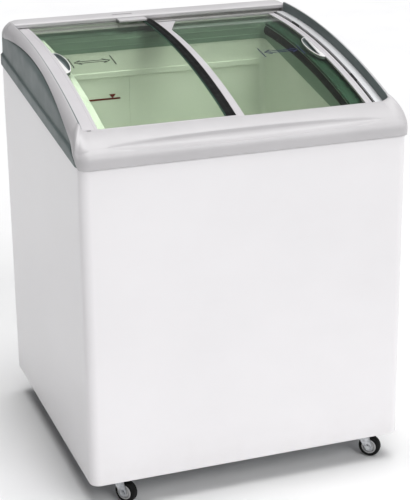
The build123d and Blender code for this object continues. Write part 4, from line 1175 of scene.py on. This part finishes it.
def make_hub(corner, centre, axis):
    """Wheel centre with a thin web between its boss and its rim."""
    half = [
        (0.0041, 0.0), (0.0041, 0.0098), (0.0064, 0.0098), (0.0070, 0.0086), (0.0100, 0.0080),
        (0.0114, 0.0072), (0.0118, 0.0046), (0.0137, 0.0046), (0.0141, 0.0094), (0.0147, 0.0100),
        (0.0160, 0.0100), (0.0166, 0.0094),
    ]
    outline = half + [(radius, -place) for radius, place in reversed(half[1:])]
    hub = lathe(outline, centre, axis, 72)
    obj = piece(f"hub_{corner}", hub, "wheel_grey", f"castor_wheel_{corner}", crease=38.0)
    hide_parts(f"castor_hub_{corner}")


def make_axle_bolt(corner, centre, axis):
    """Domed bolt head on one side, washer and nut on the other."""
    core = 0.0003
    head = [(core, 0.0136), (0.0066, 0.0136), (0.0066, 0.0146)]
    head += [(0.0056, 0.0160), (0.0034, 0.0168), (core, 0.0170)]
    washer = [(core, -0.0136), (0.0072, -0.0136), (0.0072, -0.0144), (core, -0.0144)]
    shaft = [(core, -0.0180), (0.0038, -0.0180), (0.0038, 0.0140), (core, 0.0140)]
    nut = [(0.0036, -0.0145), (0.0062, -0.0145), (0.0062, -0.0172), (0.0036, -0.0172)]
    turned = ((head, 40), (washer, 40), (shaft, 40), (nut, 6))
    bolt = join(*(lathe(outline, centre, axis, steps) for outline, steps in turned))
    obj = piece(f"axle_bolt_{corner}", bolt, "zinc_steel", f"castor_swivel_{corner}", bevel=0.0003)
    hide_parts(f"castor_axle_{corner}")


for corner_name in ("front_left", "front_right", "rear_left", "rear_right"):
    roll = next(j for j in frame["joints"] if j["name"] == f"castor_roll_{corner_name}")
    for make_wheel_part in (make_tyre, make_hub, make_axle_bolt):
        make_wheel_part(corner_name, roll["pos_m"], roll["axis"])


# ---- floor, light and camera
def make_stage(half=12.0):
    """Floor just under the castors, in squares of one metre."""
    ticks = spread(-half, half, 24)
    vertices, faces = sheet([[(x, y, -0.0002) for y in ticks] for x in ticks])
    mesh = bpy.data.meshes.new("studio_floor")
    mesh.from_pydata(vertices, [], faces)
    mesh.materials.append(floor_finish())
    put("studio_floor", mesh)


def add_sun(name, source, strength, softness):
    """Soft lamp far away in the direction of source."""
    light = bpy.data.lights.new(name, "SUN")
    light.energy = strength
    light.angle = radians(softness)
    obj = put(name, light)
    obj.rotation_mode = "QUATERNION"
    obj.rotation_quaternion = (-Vector(source)).to_track_quat("-Z", "Y")


def make_light():
    """Two soft lamps, and a world that darkens to the left, for shade, and to the back, for clear glass."""
    add_sun("key", (0.35, -1.2, 0.9), 1.02, 30.0)
    add_sun("overhead", (0.05, 0.0, 1.0), 2.55, 44.0)
    world = bpy.data.worlds.new("studio")
    bpy.context.scene.world = world
    world.use_nodes = True
    nodes = Nodes(world.node_tree)
    place = nodes.add("TexCoord").outputs["Generated"]
    sideways = nodes.levels(nodes.axis(place, "X"), -1.0, 0.6, 0.04, 0.45)
    backwards = nodes.levels(nodes.axis(place, "Y"), -0.2, 0.7, 1.0, 0.3)
    background = world.node_tree.nodes["Background"]
    background.inputs["Color"].default_value = (1.0, 1.0, 1.0, 1.0)
    nodes.link(nodes.times(sideways, backwards), background.inputs["Strength"])
    bpy.context.scene.view_settings.view_transform = "Standard"


def make_camera():
    """Camera in front, to the left and above, a little shifted."""
    yaw, pitch, roll = (radians(v) for v in (20.373, 19.128, -0.389))
    level_way = Vector((sin(yaw), cos(yaw), 0.0))
    forward = level_way * cos(pitch) - Vector((0.0, 0.0, sin(pitch)))
    level = Vector((cos(yaw), -sin(yaw), 0.0))
    upright = level.cross(forward)
    right = level * cos(roll) + upright * sin(roll)
    up = upright * cos(roll) - level * sin(roll)
    data = bpy.data.cameras.new("camera")
    data.lens = 110.4
    data.sensor_width = 36.0
    data.shift_x = -0.0446
    data.shift_y = -0.0514
    data.clip_start, data.clip_end = 0.1, 100.0
    camera = put("camera", data)
    place = Matrix((right, up, -forward)).transposed().to_4x4()
    place.translation = (-1.0981, -3.1562, 1.6620)
    camera.matrix_world = place
    bpy.context.scene.camera = camera


make_stage()
make_light()
make_camera()
